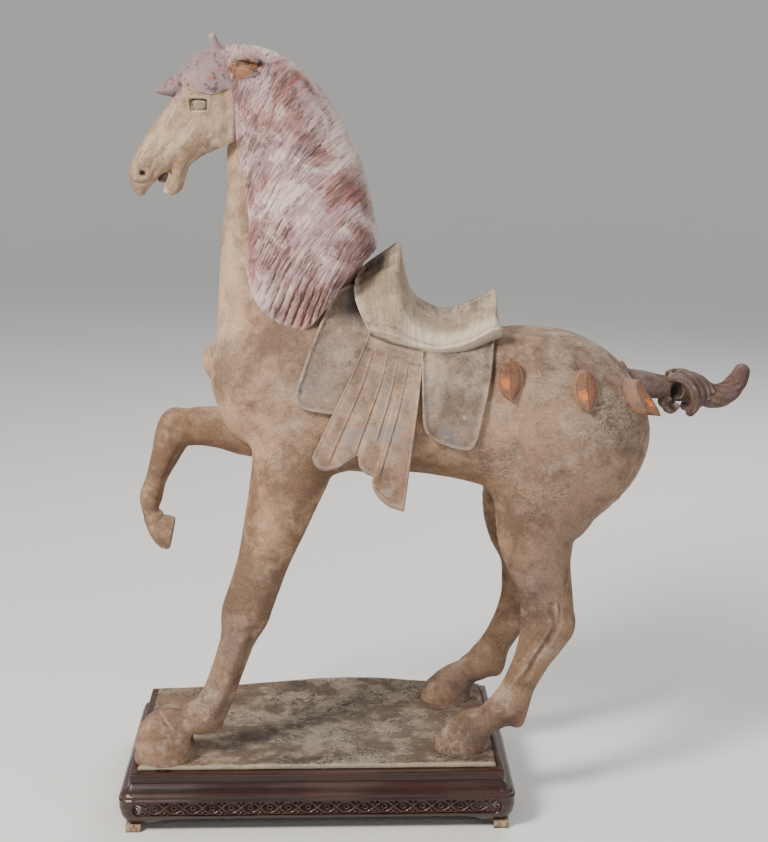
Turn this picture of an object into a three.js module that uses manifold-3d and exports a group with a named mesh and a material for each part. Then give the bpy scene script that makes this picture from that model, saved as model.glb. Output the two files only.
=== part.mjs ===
// A dancing horse figure: a fired clay horse on its clay slab, set in a low
// hardwood stand. Millimetres, +Z up, the horse's near side faces -Y and its
// head points to -X. The origin is on the floor, under the middle of the whole.
import * as THREE from 'three';
import { mergeVertices } from 'three/addons/utils/BufferGeometryUtils.js';
import Module from 'manifold-3d';

const wasm = await Module();
wasm.setup();

// Places shared by the horse and its stand. The horse is drawn from the middle
// of the slab's top: x towards the tail, z up.
const SLAB = { long: 358, deep: 220, thick: 14, x: -122, top: 64, hump: 11 };
const GAP = 0.3;

// Barrel of the body: x, top, bottom, half width
const BARREL = [
  [-98, 400, 344, 26],
  [-87, 427, 321, 50],
  [-58, 439, 302, 66],
  [-15, 440, 288, 73],
  [40, 432, 279, 76],
  [95, 423, 278, 77],
  [150, 418, 269, 78],
  [205, 424, 252, 81],
  [256, 419, 238, 80],
  [297, 399, 247, 68],
  [322, 372, 266, 52],
  [335, 345, 292, 29],
];
const BARREL_SQUARE = 2.4;

// Neck, head and jaw on the middle plane: x, z, half depth, half width
const NECK = [
  [-14, 400, 81, 62],
  [-26, 445, 70, 54],
  [-23, 490, 71, 47],
  [-20, 535, 70, 41],
  [-26, 580, 62, 36],
  [-38, 620, 52, 32],
  [-56, 650, 42, 30],
  [-76, 668, 34, 28],
];
const HEAD = [
  [-70, 668, 33, 28],
  [-91, 651, 41, 33],
  [-110, 633, 35, 31],
  [-128, 619, 28, 26],
  [-147, 602, 23, 20],
  [-162, 588, 18, 17],
  [-169, 575, 15, 17],
  [-171, 561, 9, 13],
];
const SKULL = { at: [-95, 0, 669], half: [31, 27, 29] };
const JAW = [
  [-112, 614, 14, 20],
  [-124, 602, 10, 17],
  [-133, 589, 8, 14],
  [-136, 576, 8.5, 12],
  [-141, 562, 6.5, 10],
];
const EYE = { x: -110, z: 647, y: 30, half: [9, 4, 6] };
const NOSTRIL = { x: -169, z: 581, y: 14, half: [7, 5, 6] };

// Pairs on both sides: x, y, z, half depth, half width
const EAR = [
  [-88, 14, 682, 12, 8],
  [-92, 15, 693, 8, 6],
  [-95, 16, 703, 4.5, 4],
  [-96, 16.5, 711, 3, 3],
];
const EAR_LEAF = [
  [-84, 28, 683, 5, 5],
  [-72, 31, 678, 9, 7],
  [-60, 33, 674, 6, 6],
  [-51, 34, 672, 2, 3],
];
const FORELOCK = [
  [-108, 0, 674, 9, 14],
  [-124, 0, 668, 9, 14],
  [-138, 0, 661, 8.5, 12],
  [-149, 0, 660, 5.5, 8],
  [-156, 0, 660, 2, 3],
];
const CHEST_LEAF = { at: [-98, 0, 389], half: [13, 14, 20] };

// Legs: x, y, z, half depth, half width. The near foreleg and the two hind
// legs stand, the far foreleg is raised.
const NEAR_FORE = [
  [4, -40, 345, 66, 34],
  [-19, -47, 305, 44, 34],
  [-27, -53, 280, 38, 31],
  [-41, -57, 235, 31, 27],
  [-54, -60, 195, 25.5, 23],
  [-66, -63, 160, 24.5, 21],
  [-72, -64, 141, 23.5, 21],
  [-79, -66, 121, 18, 18],
  [-83, -67, 108, 16.5, 16],
  [-91, -70, 85, 16, 15],
  [-103, -72, 60, 16, 15],
  [-118, -74, 42, 19, 18],
  [-138, -77, 32, 18, 19],
  [-150, -79, 22, 16, 18],
];
const FAR_FORE = [
  [-12, 38, 330, 40, 34],
  [-44, 42, 309, 29, 29],
  [-72, 44, 307, 25, 25],
  [-100, 45, 312, 22, 21],
  [-128, 46, 313, 20, 19],
  [-148, 46, 304, 20.5, 18],
  [-160, 47, 281, 16, 15],
  [-168, 48, 257, 12.5, 12],
  [-174, 49, 236, 12.5, 12],
  [-176, 50, 222, 8.5, 10],
  [-172, 50, 212, 11, 13],
];
const HIND = [
  [236, 38, 330, 80, 42],
  [238, 43, 287, 74, 40],
  [229, 49, 251, 54, 35],
  [222, 53, 222, 41, 29],
  [224, 56, 197, 34, 25],
  [231, 58, 168, 27, 22],
  [233, 60, 142, 27, 21],
  [231, 61, 122, 26, 20],
  [219, 63, 95, 19, 15],
  [206, 65, 68, 16.5, 14],
  [195, 66, 46, 19, 17],
  [174, 67, 31, 15, 16],
  [156, 67, 18, 14, 16],
];
// How far each row of the far hind leg stands ahead of the near one
const FAR_HIND_AHEAD = [0, 0, 0, 0, 0, 2, 5, 9, 12, 13, 13, 10, 5];
// Hooves: z above the sole, front x, back x, half width
const FORE_HOOF = [
  [0, -30, 30, 27],
  [14, -30, 28, 25],
  [30, -24, 25, 22],
  [42, -14, 20, 17],
  [50, -6, 10, 9],
];
const HIND_HOOF = [
  [0, -29, 28, 24],
  [8, -28, 28, 24],
  [19, -21, 27, 22],
  [29, -10, 24, 18],
  [39, 4, 18, 10],
];
const FORE_FOOT = [-154, -82];
const HIND_FOOT = [148, 67];
const SOLE_SUNK = 0.5;
// Middle of the raised sole, and the turn that brings its toe down
const RAISED_SOLE = { at: [-157, 51, 197], turn: -1.37, size: 0.66 };

// Mane: hem point (x, y, z) and crest point (x, z) of the same lock
const MANE = [
  [-78, 27, 668, -90, 704],
  [-74, 30, 640, -66, 705],
  [-73, 31, 613, -40, 697],
  [-70, 34, 588, -18, 685],
  [-65, 38, 560, 4, 665],
  [-63, 41, 525, 20, 644],
  [-66, 43, 492, 34, 620],
  [-60, 48, 464, 45, 597],
  [-46, 54, 444, 52, 575],
  [-28, 58, 434, 57, 555],
  [-7, 60, 433, 60, 538],
  [12, 57, 452, 62, 526],
  [28, 50, 474, 63, 518],
  [44, 40, 491, 63, 512],
  [56, 28, 503, 62, 507],
];
const LOCKS = { count: 20, rows: 5, depth: 2.6, swell: 7 };

// Saddle: ridge x, ridge z, edge x, edge half width, edge z
const SADDLE = [
  [50, 482, 54, 57, 429],
  [63, 494, 62, 58, 426],
  [77, 505, 72, 59, 423],
  [86, 508, 82, 60, 419],
  [92, 477, 92, 59, 416],
  [103, 456, 104, 59, 413],
  [129, 443, 122, 60, 411],
  [152, 448, 142, 60, 414],
  [170, 456, 158, 59, 420],
  [181, 461, 172, 58, 428],
  [182, 443, 179, 57, 431],
  [187, 425, 184, 55, 432],
];
const SADDLE_FORM = { rows: 5, lobe: 12, floor: 12 };

// Saddle cloth: proud of the barrel, cut to these side outlines (x, z)
const CLOTH_PROUD = 5;
const FRONT_CLOTH = [[70, 470], [26, 470], [2, 430], [-15, 386], [-19, 370], [-14, 359], [4, 354], [70, 352]];
const REAR_CLOTH = [
  [104, 440], [104, 364], [107, 336], [120, 323], [147, 315], [158, 323], [168, 366], [175, 404], [176, 450],
];

// Pleated flap: hem x, hem z, top x, top z, how far the fold stands out
const FLAP = [
  [-3, 310, 54, 429, 0],
  [1, 301, 57, 426, 3],
  [10, 297, 61, 424, 1],
  [22, 300, 66, 422, 4],
  [32, 306, 71, 420, 2],
  [41, 311, 76, 418, 0],
  [43, 302, 79, 417, 4],
  [49, 294, 83, 416, 2],
  [56, 290, 88, 415, 0],
  [56, 281, 91, 414, 4],
  [62, 269, 96, 413, 2],
  [73, 260, 101, 412, 3],
  [87, 255, 107, 411, 1],
];
const FLAP_FORM = { rows: 4, top: 60, low: 87, turn: 0.38, thick: 7 };

// Leaf plaques on the rump: x, z, half width across the barrel, turn outward
const PLAQUES = [
  [190, 384, 73, 0.1],
  [264, 372, 72, 0.25],
  [322, 363, 52, 0.95],
];
const PLAQUE_HALF = [14, 10, 21];

// Tail: x, z, half depth, half width
const TAIL_ROOT = [[300, 368, 15, 17], [330, 365, 14, 16], [350, 362, 12.5, 14], [372, 359, 12, 13]];
const TAIL_END = [
  [372, 361, 14, 14],
  [390, 357, 13, 13],
  [407, 352, 13, 12],
  [421, 357, 12.5, 11],
  [430, 368, 11, 10],
  [435, 381, 7.5, 7],
];
const TAIL_KNOT = [[364, 372, 10, 12], [374, 355, 11, 20], [381, 372, 9, 13], [366, 348, 9, 10]];

// Stand: levels of the moulding, as height and how far it stands out from the rim
const RIM = { out: 8, top: 60, pocket: 0.6, panel: 6 };
const MOULDING = [
  [8.3, 1], [11, 4], [18, 9], [26, 11], [34, 10.5], [36, 9], [40, 8.5], [42, 6.5], [45, 2], [49, -1],
  [50, -1.5], [50.5, 0], [58.5, 0], [60, -1.5],
];
const APRON = { bottom: 15, thick: 9, low: 18, high: 34, foot: 24, margin: 15 };
// Pierced panels: the gap over each wave of the stem as x, z from its middle
const FRIEZE = { thick: 4, wave: 44, gap: [[-17, 6], [-8, -1], [0, -3.2], [8, -1], [17, 6]] };
const PAD = { size: 15, high: 8, inset: 3 };

const CLAY = { color: 0xa38c76, roughness: 0.92, metalness: 0 };
const WOOD = { color: 0x3b1d12, roughness: 0.45, metalness: 0 };
const PALE = { color: 0x9a9184, roughness: 0.9, metalness: 0 };

// Catmull-Rom value of rows of numbers, t from 0 at the first row to 1 at the last
function between(rows, t) {
  const last = rows.length - 1;
  const i = Math.min(Math.floor(t * last), last - 1);
  const f = t * last - i;
  const row = (k) => rows[THREE.MathUtils.clamp(k, 0, last)];
  const [a, b, c, d] = [row(i - 1), row(i), row(i + 1), row(i + 2)];
  return b.map((value, k) => {
    const slope = c[k] - a[k];
    const bend = 2 * a[k] - 5 * value + 4 * c[k] - d[k];
    const twist = 3 * value - a[k] - 3 * c[k] + d[k];
    return value + 0.5 * f * (slope + f * (bend + f * twist));
  });
}

// Geometry of loose points and faces, turned so that its faces point out
function closedGeometry(points, faces) {
  const volume = faces.reduce((sum, [a, b, c]) => {
    const normal = points[b].clone().cross(points[c]);
    return sum + points[a].dot(normal);
  }, 0);
  const index = faces.flatMap(([a, b, c]) => (volume > 0 ? [a, b, c] : [a, c, b]));
  const geometry = new THREE.BufferGeometry().setFromPoints(points);
  geometry.setIndex(index);
  return geometry;
}

// Closed body over rings of equally many points. Each end is a fan round a tip
// or, without tips, a strip from the first half of its ring to the second.
function overRings(rings, firstTip, lastTip) {
  const sides = rings[0].length;
  const points = rings.flat();
  const end = points.length - sides;
  const faces = [];
  for (let r = 0; r < end; r += sides) {
    for (let k = 0; k < sides; k += 1) {
      const next = (k + 1) % sides;
      faces.push([r + k, r + next, r + sides + next], [r + k, r + sides + next, r + sides + k]);
    }
  }
  if (firstTip) {
    const first = points.push(firstTip, lastTip) - 2;
    for (let k = 0; k < sides; k += 1) {
      const next = (k + 1) % sides;
      faces.push([first, next, k], [first + 1, end + k, end + next]);
    }
  } else {
    for (let k = 0; k < sides / 2 - 1; k += 1) {
      const back = sides - 1 - k;
      faces.push([k, back, k + 1], [back, back - 1, k + 1]);
      faces.push([end + k, end + k + 1, end + back], [end + back, end + k + 1, end + back - 1]);
    }
  }
  return closedGeometry(points, faces);
}

const middle = (ring) => ring.reduce((sum, p) => sum.add(p), new THREE.Vector3()).divideScalar(ring.length);

// Limb along rows of x, y, z, half depth and half width; its section is a
// superellipse square to the path, with its width kept as level as the path lets it
function limb(rows, steps, sides, square = 2) {
  const place = (t) => new THREE.Vector3(...between(rows, t).slice(0, 3));
  const along = (t) => place(Math.min(t + 0.01, 1)).sub(place(Math.max(t - 0.01, 0))).normalize();
  const rounded = (value) => Math.sign(value) * Math.abs(value) ** (2 / square);
  const rings = [];
  for (let i = 0; i <= steps; i += 1) {
    const t = i / steps;
    const [x, y, z, deep, wide] = between(rows, t);
    const ahead = along(t);
    const across = new THREE.Vector3(0, 1, 0).addScaledVector(ahead, -ahead.y).normalize();
    const fore = ahead.clone().cross(across);
    const ring = [];
    for (let k = 0; k < sides; k += 1) {
      const angle = (2 * Math.PI * k) / sides;
      const point = new THREE.Vector3(x, y, z);
      point.addScaledVector(fore, deep * rounded(Math.cos(angle)));
      point.addScaledVector(across, wide * rounded(Math.sin(angle)));
      ring.push(point);
    }
    rings.push(ring);
  }
  const reach = (row) => 0.35 * Math.min(row[3], row[4]);
  const firstTip = place(0).addScaledVector(along(0), -reach(rows[0]));
  const lastTip = place(1).addScaledVector(along(1), reach(rows[rows.length - 1]));
  return overRings(rings, firstTip, lastTip);
}

// The same on the middle plane, from rows of x, z, half depth and half width
const midLimb = (rows, ...form) => limb(rows.map(([x, z, deep, wide]) => [x, 0, z, deep, wide]), ...form);

const mirrored = (rows, side) => rows.map(([x, y, ...rest]) => [x, side * y, ...rest]);

// A ball stretched to three half sizes, ridged along its meridians
function boss(at, half, turn = 0, detail = 1) {
  const geometry = new THREE.OctahedronGeometry(1, detail);
  geometry.scale(...half);
  geometry.rotateZ(turn);
  geometry.translate(...at);
  return geometry;
}

function barrelRows(proud) {
  return BARREL.map(([x, top, bottom, wide]) => {
    const deep = (top - bottom) / 2;
    return [x, 0, (top + bottom) / 2, deep + proud, wide + proud];
  });
}

// Hoof standing on its sole, its toe to -X
function hoof(rows, size, at, sides = 12) {
  const rings = rows.map(([z, front, back, wide]) => {
    const ring = [];
    for (let k = 0; k < sides; k += 1) {
      const angle = (2 * Math.PI * k) / sides;
      const x = (front + back) / 2 + ((back - front) / 2) * Math.cos(angle);
      ring.push(new THREE.Vector3(x, wide * Math.sin(angle), z).multiplyScalar(size));
    }
    return ring;
  });
  const geometry = overRings(rings, middle(rings[0]), middle(rings[rings.length - 1]));
  geometry.translate(at[0], at[1], -SOLE_SUNK);
  return geometry;
}

function raisedHoof() {
  const geometry = hoof(HIND_HOOF, RAISED_SOLE.size, [0, 0]);
  geometry.rotateY(RAISED_SOLE.turn);
  geometry.translate(...RAISED_SOLE.at);
  return geometry;
}

// One lock line from the crest (v = 0) to the hem (v = 1) on one side: it
// leaves the crest slanting, ends hanging down, and stands proud by its lift
function lockPoint(u, v, side, lift) {
  const [hemX, hemY, hemZ, crestX, crestZ] = between(MANE, u);
  const bendX = THREE.MathUtils.lerp(crestX, hemX, 0.72);
  const bendZ = THREE.MathUtils.lerp(crestZ, hemZ, 0.36);
  const curve = (a, b, c) => (1 - v) ** 2 * a + 2 * v * (1 - v) * b + v * v * c;
  const round = Math.sqrt(1 - (1 - Math.min(1, v / 0.5)) ** 2);
  const out = hemY * round + LOCKS.swell * Math.sin(Math.PI * v) + lift * round;
  return new THREE.Vector3(curve(crestX, bendX, hemX), side * out, curve(crestZ, bendZ, hemZ));
}

function mane() {
  const rings = [];
  const columns = 2 * LOCKS.count;
  for (let i = 0; i <= columns; i += 1) {
    const u = i / columns;
    const lift = i % 2 === 1 ? LOCKS.depth : 0;
    const ring = [];
    for (let k = -LOCKS.rows; k <= LOCKS.rows; k += 1) {
      ring.push(lockPoint(u, Math.abs(k) / LOCKS.rows, Math.sign(k), lift));
    }
    rings.push(ring);
  }
  return overRings(rings, middle(rings[0]), middle(rings[columns]));
}

// Saddle: at each step from pommel to cantle an arch from edge to edge over
// the ridge, closed through the body below it
function saddle() {
  const rings = SADDLE.map(([ridgeX, ridgeZ, edgeX, edgeY, edgeZ], i) => {
    const lobe = SADDLE_FORM.lobe * (1 - THREE.MathUtils.smoothstep(i, 0, 4));
    const ring = [];
    for (let k = -SADDLE_FORM.rows; k <= SADDLE_FORM.rows; k += 1) {
      const angle = (Math.PI / 2) * (k / SADDLE_FORM.rows);
      const rise = Math.cos(angle);
      const x = edgeX + (ridgeX - edgeX) * rise - lobe * Math.abs(Math.sin(2 * angle));
      ring.push(new THREE.Vector3(x, edgeY * Math.sin(angle), edgeZ + (ridgeZ - edgeZ) * rise));
    }
    for (const side of [1, -1]) {
      const y = side * (edgeY - SADDLE_FORM.floor);
      ring.push(new THREE.Vector3(edgeX, y, edgeZ - SADDLE_FORM.floor));
    }
    return ring;
  });
  return overRings(rings, middle(rings[0]), middle(rings[rings.length - 1]));
}

// Slab of cloth cut from the proud barrel by a side outline
function cloth(outline) {
  const shape = new THREE.Shape(outline.map(([x, z]) => new THREE.Vector2(x, z)));
  const cutter = new THREE.ExtrudeGeometry(shape, { depth: 240, bevelEnabled: false });
  cutter.rotateX(Math.PI / 2);
  cutter.translate(0, 120, 0);
  return solid(limb(barrelRows(CLOTH_PROUD), 11, 14, BARREL_SQUARE)).intersect(solid(cutter));
}

// Pleated flap on one side: straight falls from the saddle's edge to the hem,
// rounding the barrel first and then hanging free
function flap(side) {
  const rings = FLAP.map(([hemX, hemZ, topX, topZ, fold]) => {
    const outer = [];
    const inner = [];
    for (let k = 0; k <= FLAP_FORM.rows; k += 1) {
      const v = k / FLAP_FORM.rows;
      const turn = Math.sin((Math.PI / 2) * Math.min(1, v / FLAP_FORM.turn));
      const out = THREE.MathUtils.lerp(FLAP_FORM.top, FLAP_FORM.low, turn);
      const x = THREE.MathUtils.lerp(topX, hemX, v);
      const z = THREE.MathUtils.lerp(topZ, hemZ, v);
      outer.push(new THREE.Vector3(x, side * (out + fold * v), z));
      inner.unshift(new THREE.Vector3(x, side * (out - FLAP_FORM.thick), z));
    }
    return [...outer, ...inner];
  });
  return overRings(rings);
}

// Clay slab with an uneven top that swells towards the middle of its back edge
function slab() {
  const topAt = (x, y) => {
    const bell = Math.exp(-(((x - 30) / 110) ** 2));
    return SLAB.hump * bell * THREE.MathUtils.smoothstep(y, 10, SLAB.deep / 2);
  };
  const rings = [];
  for (let i = 0; i <= 10; i += 1) {
    const x = SLAB.long * (i / 10 - 0.5);
    const ring = [];
    for (let k = 0; k <= 4; k += 1) {
      const y = SLAB.deep * (k / 4 - 0.5);
      ring.push(new THREE.Vector3(x, y, topAt(x, y)));
    }
    for (const edge of [0.5, -0.5]) {
      ring.push(new THREE.Vector3(x, edge * SLAB.deep, -SLAB.thick));
    }
    rings.push(ring);
  }
  return overRings(rings, middle(rings[0]), middle(rings[10]));
}

// Library solid of a closed geometry, and back again
function solid(geometry) {
  const bare = geometry.clone();
  bare.deleteAttribute('normal');
  bare.deleteAttribute('uv');
  const merged = mergeVertices(bare, 1e-3);
  const triVerts = new Uint32Array(merged.index.array);
  return new wasm.Manifold(new wasm.Mesh({
    numProp: 3, vertProperties: new Float32Array(merged.attributes.position.array), triVerts,
  }));
}

function geometryOf(manifold) {
  const mesh = manifold.getMesh();
  const geometry = new THREE.BufferGeometry();
  geometry.setAttribute('position', new THREE.BufferAttribute(mesh.vertProperties, 3));
  geometry.setIndex(new THREE.BufferAttribute(mesh.triVerts, 1));
  return geometry;
}

const joined = (geometries) => geometries.map(solid).reduce((all, one) => all.add(one));

function horse() {
  const [hindX, hindY] = HIND_FOOT;
  const farHind = HIND.map(([x, ...rest], i) => [x - FAR_HIND_AHEAD[i], ...rest]);
  const forms = [
    slab(),
    limb(barrelRows(0), 13, 16, BARREL_SQUARE),
    midLimb(NECK, 7, 12),
    midLimb(HEAD, 12, 12),
    midLimb(JAW, 6, 8),
    boss(SKULL.at, SKULL.half),
    limb(FORELOCK, 6, 8),
    boss(CHEST_LEAF.at, CHEST_LEAF.half),
    mane(),
    saddle(),
    limb(NEAR_FORE, 16, 10),
    limb(FAR_FORE, 14, 10),
    limb(mirrored(HIND, -1), 16, 10),
    limb(farHind, 16, 10),
    hoof(FORE_HOOF, 1, FORE_FOOT),
    raisedHoof(),
    hoof(HIND_HOOF, 1, [hindX, -hindY]),
    hoof(HIND_HOOF, 1, [hindX - FAR_HIND_AHEAD[12], hindY]),
    midLimb(TAIL_ROOT, 4, 12),
    midLimb(TAIL_END, 10, 12),
    ...TAIL_KNOT.map(([x, z, deep, wide]) => boss([x, 0, z], [deep, wide, deep])),
  ];
  for (const side of [-1, 1]) {
    forms.push(flap(side), limb(mirrored(EAR, side), 4, 8), limb(mirrored(EAR_LEAF, side), 4, 6));
    forms.push(boss([EYE.x, side * EYE.y, EYE.z], EYE.half));
    forms.push(boss([NOSTRIL.x, side * NOSTRIL.y, NOSTRIL.z], NOSTRIL.half));
    for (const [x, z, out, turn] of PLAQUES) {
      forms.push(boss([x, side * out, z], PLAQUE_HALF, -side * turn));
    }
  }
  const dressed = joined(forms).add(cloth(FRONT_CLOTH)).add(cloth(REAR_CLOTH));
  return geometryOf(dressed);
}

const RIM_HALF = { x: SLAB.long / 2 + RIM.out, y: SLAB.deep / 2 + RIM.out };

// Rounded rectangle outline, standing out from the rim by so much
function standRing(z, out) {
  const radius = Math.max(2, out + 2);
  const ring = [];
  for (let corner = 0; corner < 4; corner += 1) {
    for (let k = 0; k <= 2; k += 1) {
      const angle = (Math.PI / 2) * (corner + k / 2);
      const sideX = corner === 0 || corner === 3 ? 1 : -1;
      const sideY = corner < 2 ? 1 : -1;
      const x = sideX * (RIM_HALF.x + out - radius) + radius * Math.cos(angle);
      const y = sideY * (RIM_HALF.y + out - radius) + radius * Math.sin(angle);
      ring.push(new THREE.Vector3(x, y, z));
    }
  }
  return ring;
}

function block(long, deep, low, high) {
  const geometry = new THREE.BoxGeometry(long, deep, high - low);
  geometry.translate(0, 0, (low + high) / 2);
  return geometry;
}

// Flat outline drawn in x and z and carried through the thickness along y
function panel(shape, thick, curveSegments = 4) {
  const geometry = new THREE.ExtrudeGeometry(shape, { depth: thick, bevelEnabled: false, curveSegments });
  geometry.translate(0, 0, -thick / 2);
  geometry.rotateX(Math.PI / 2);
  return geometry;
}

// Outline of a long opening with round ends
function slot(half, radius) {
  const shape = new THREE.Shape();
  shape.absarc(half - radius, 0, radius, -Math.PI / 2, Math.PI / 2, false);
  shape.absarc(-half + radius, 0, radius, Math.PI / 2, (3 * Math.PI) / 2, false);
  return shape;
}

// The opening cut through both opposite aprons
function opening(half, through, turn) {
  const geometry = panel(slot(half, (APRON.high - APRON.low) / 2), through);
  geometry.rotateZ(turn);
  geometry.translate(0, 0, (APRON.high + APRON.low) / 2);
  return geometry;
}

const OPEN_HALF = { x: RIM_HALF.x - 3, y: RIM_HALF.y - 3 };

function stand() {
  const rings = MOULDING.map(([z, out]) => standRing(z, out));
  let wood = solid(overRings(rings, middle(rings[0]), middle(rings[rings.length - 1])));
  const inside = 2 * (APRON.margin - APRON.thick - 10);
  const pocketLow = SLAB.top - SLAB.thick - RIM.pocket;
  const under = pocketLow - RIM.panel;
  const cuts = [
    block(SLAB.long + 2 * RIM.pocket, SLAB.deep + 2 * RIM.pocket, pocketLow, RIM.top + 5),
    block(2 * RIM_HALF.x + inside, 2 * RIM_HALF.y + inside, 0, under),
    block(2 * (RIM_HALF.x - APRON.foot), 400, 0, APRON.bottom),
    block(600, 2 * (RIM_HALF.y - APRON.foot), 0, APRON.bottom),
    opening(OPEN_HALF.x, 400, 0),
    opening(OPEN_HALF.y, 600, Math.PI / 2),
  ];
  for (const cut of cuts) {
    wood = wood.subtract(solid(cut));
  }
  return geometryOf(wood);
}

// Pierced panel: a waving stem between two rails, the gaps above and below it
// cut right through
function frieze(half) {
  const radius = (APRON.high - APRON.low) / 2 - GAP;
  const straight = half - GAP - radius;
  const waves = Math.floor((2 * straight) / FRIEZE.wave);
  const gaps = [];
  for (let i = 0; i < 2 * waves; i += 1) {
    const side = i % 2 === 0 ? 1 : -1;
    const centre = (i + 0.5 - waves) * (FRIEZE.wave / 2);
    const points = FRIEZE.gap.map(([along, up]) => new THREE.Vector2(centre + along, side * up));
    gaps.push(panel(new THREE.Shape(points), 2 * FRIEZE.thick));
  }
  return geometryOf(solid(panel(slot(half - GAP, radius), FRIEZE.thick)).subtract(joined(gaps)));
}

const group = new THREE.Group();

function place(name, geometry, look, position = [0, 0, 0], turn = 0) {
  geometry.computeVertexNormals();
  const mesh = new THREE.Mesh(geometry, new THREE.MeshStandardMaterial(look));
  mesh.name = name;
  mesh.position.set(...position);
  mesh.rotation.z = turn;
  group.add(mesh);
}

place('horse', horse(), CLAY, [SLAB.x, 0, SLAB.top]);
place('stand', stand(), WOOD, [SLAB.x, 0, 0]);

const panelY = RIM_HALF.y + 6;
const panelX = RIM_HALF.x + 6;
const panelZ = (APRON.high + APRON.low) / 2;
place('frieze_front', frieze(OPEN_HALF.x), WOOD, [SLAB.x, -panelY, panelZ]);
place('frieze_back', frieze(OPEN_HALF.x), WOOD, [SLAB.x, panelY, panelZ], Math.PI);
place('frieze_left', frieze(OPEN_HALF.y), WOOD, [SLAB.x - panelX, 0, panelZ], -Math.PI / 2);
place('frieze_right', frieze(OPEN_HALF.y), WOOD, [SLAB.x + panelX, 0, panelZ], Math.PI / 2);

for (const [name, sideX, sideY] of [
  ['foot_pad_front_left', -1, -1], ['foot_pad_front_right', 1, -1],
  ['foot_pad_back_left', -1, 1], ['foot_pad_back_right', 1, 1],
]) {
  const x = SLAB.x + sideX * (RIM_HALF.x - PAD.inset);
  const y = sideY * (RIM_HALF.y - PAD.inset);
  place(name, block(PAD.size, PAD.size, 0, PAD.high), PALE, [x, y, 0]);
}

export default group;
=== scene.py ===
import math
import bpy
import numpy as np
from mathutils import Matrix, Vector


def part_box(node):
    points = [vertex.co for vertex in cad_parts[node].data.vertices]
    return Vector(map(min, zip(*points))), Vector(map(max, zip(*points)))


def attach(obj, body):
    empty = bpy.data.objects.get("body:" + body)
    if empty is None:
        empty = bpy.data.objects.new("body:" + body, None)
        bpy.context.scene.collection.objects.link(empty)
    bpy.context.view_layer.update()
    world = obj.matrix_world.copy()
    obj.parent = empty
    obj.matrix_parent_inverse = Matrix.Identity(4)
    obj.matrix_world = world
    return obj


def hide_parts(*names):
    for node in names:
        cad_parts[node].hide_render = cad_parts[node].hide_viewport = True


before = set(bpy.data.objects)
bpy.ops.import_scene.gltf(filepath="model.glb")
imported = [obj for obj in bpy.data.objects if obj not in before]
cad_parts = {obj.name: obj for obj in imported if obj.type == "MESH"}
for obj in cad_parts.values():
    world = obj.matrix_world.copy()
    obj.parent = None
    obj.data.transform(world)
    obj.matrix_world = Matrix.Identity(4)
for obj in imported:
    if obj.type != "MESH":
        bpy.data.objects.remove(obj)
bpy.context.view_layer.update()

# A dancing horse of fired clay on its slab, in a low hardwood stand. Shapes are worked out in
# millimetres from the middle of the slab's top: x towards the tail, y to the far side, z up.
RIM_LOW, RIM_HIGH = (np.array(corner) * 1000 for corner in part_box("stand"))
MIDDLE_X = (RIM_LOW[0] + RIM_HIGH[0]) / 2
SLAB_PROUD = 4
SLAB_TOP = np.array([MIDDLE_X, 0, RIM_HIGH[2] + SLAB_PROUD])
SLAB = {"long": 358, "deep": 220, "thick": 14, "hump": 11, "lift": 0.3}

# Body: x, top, bottom, half width
BARREL = [
    (-104, 385, 361, 8), (-98, 400, 344, 27), (-87, 427, 321, 50), (-58, 439, 302, 66),
    (-15, 440, 288, 73), (40, 432, 279, 76), (95, 423, 278, 77), (150, 418, 269, 78),
    (205, 424, 252, 81), (256, 419, 238, 80), (297, 399, 247, 70), (320, 374, 263, 56),
    (331, 354, 281, 43), (336.5, 339, 296, 30), (339, 328, 308, 17),
]
BARREL_SQUARE = 2.4

# Neck and head on the middle plane: x, z, half depth, half width
NECK = [
    (-14, 400, 81, 62), (-26, 445, 70, 54), (-23, 490, 71, 47), (-20, 535, 70, 41),
    (-26, 580, 60, 36), (-32, 618, 54, 30), (-40, 640, 45, 25),
]
HEAD = [
    (-70, 668, 33, 28), (-91, 651, 41, 33), (-110, 633, 35, 31), (-128, 619, 28, 26),
    (-147, 602, 23, 20), (-160, 589, 18, 17), (-168, 577, 14.5, 16.5), (-170.5, 567, 9.5, 13),
    (-170.5, 560, 5, 9),
]
JAW = [
    (-108, 616, 16, 21), (-120, 603, 11.5, 18), (-129, 591, 8.5, 16), (-133, 580, 8, 15),
    (-139, 569, 10.5, 13.5), (-144.5, 562, 7, 9),
]
SKULL = ((-93, 0, 668), (32, 27, 30))
BACK_OF_HEAD = [(-58, 655, 36, 26), (-44, 655, 34, 24)]

# The open mouth: how far it leans, its outer cut, its inner hollow and the tongue that fills its back
MOUTH_LEAN = 0.62
MOUTH_CUT = ((-151, 0, 570), (4.6, 30, 13))
MOUTH_HOLLOW = ((-150, 0, 569), (7, 8.5, 11))
TONGUE = ((-145.5, 0, 579), (6, 7.5, 11))

# Cheek and brow swellings and the eye, x, z and half sizes; then the rims of eye and nostril
CHEEK = ((-88, 22, 634), (20, 11, 28))
BROW = ((-116, 23, 653), (11, 8, 7))
EYE = {"at": (-109.4, 647), "lean": 0.05, "hollow": (8.3, 3.4, 5.6), "ball": (6.2, 3.4, 4.6)}
EYE_RIM = [
    (-118.8, 641), (-119.3, 648), (-118.6, 654), (-110, 654.2), (-100.2, 654), (-100, 647),
    (-104, 641), (-111, 639.8), (-118.8, 641),
]
NOSTRIL = {"at": (-167.4, 580.5), "half": (3.6, 4.4, 2.6), "lean": 0.6}
NOSTRIL_RIM = [(-162.2, 583.6), (-160.2, 579), (-162.3, 575.3), (-168, 574.2), (-173.6, 575.2)]

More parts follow.
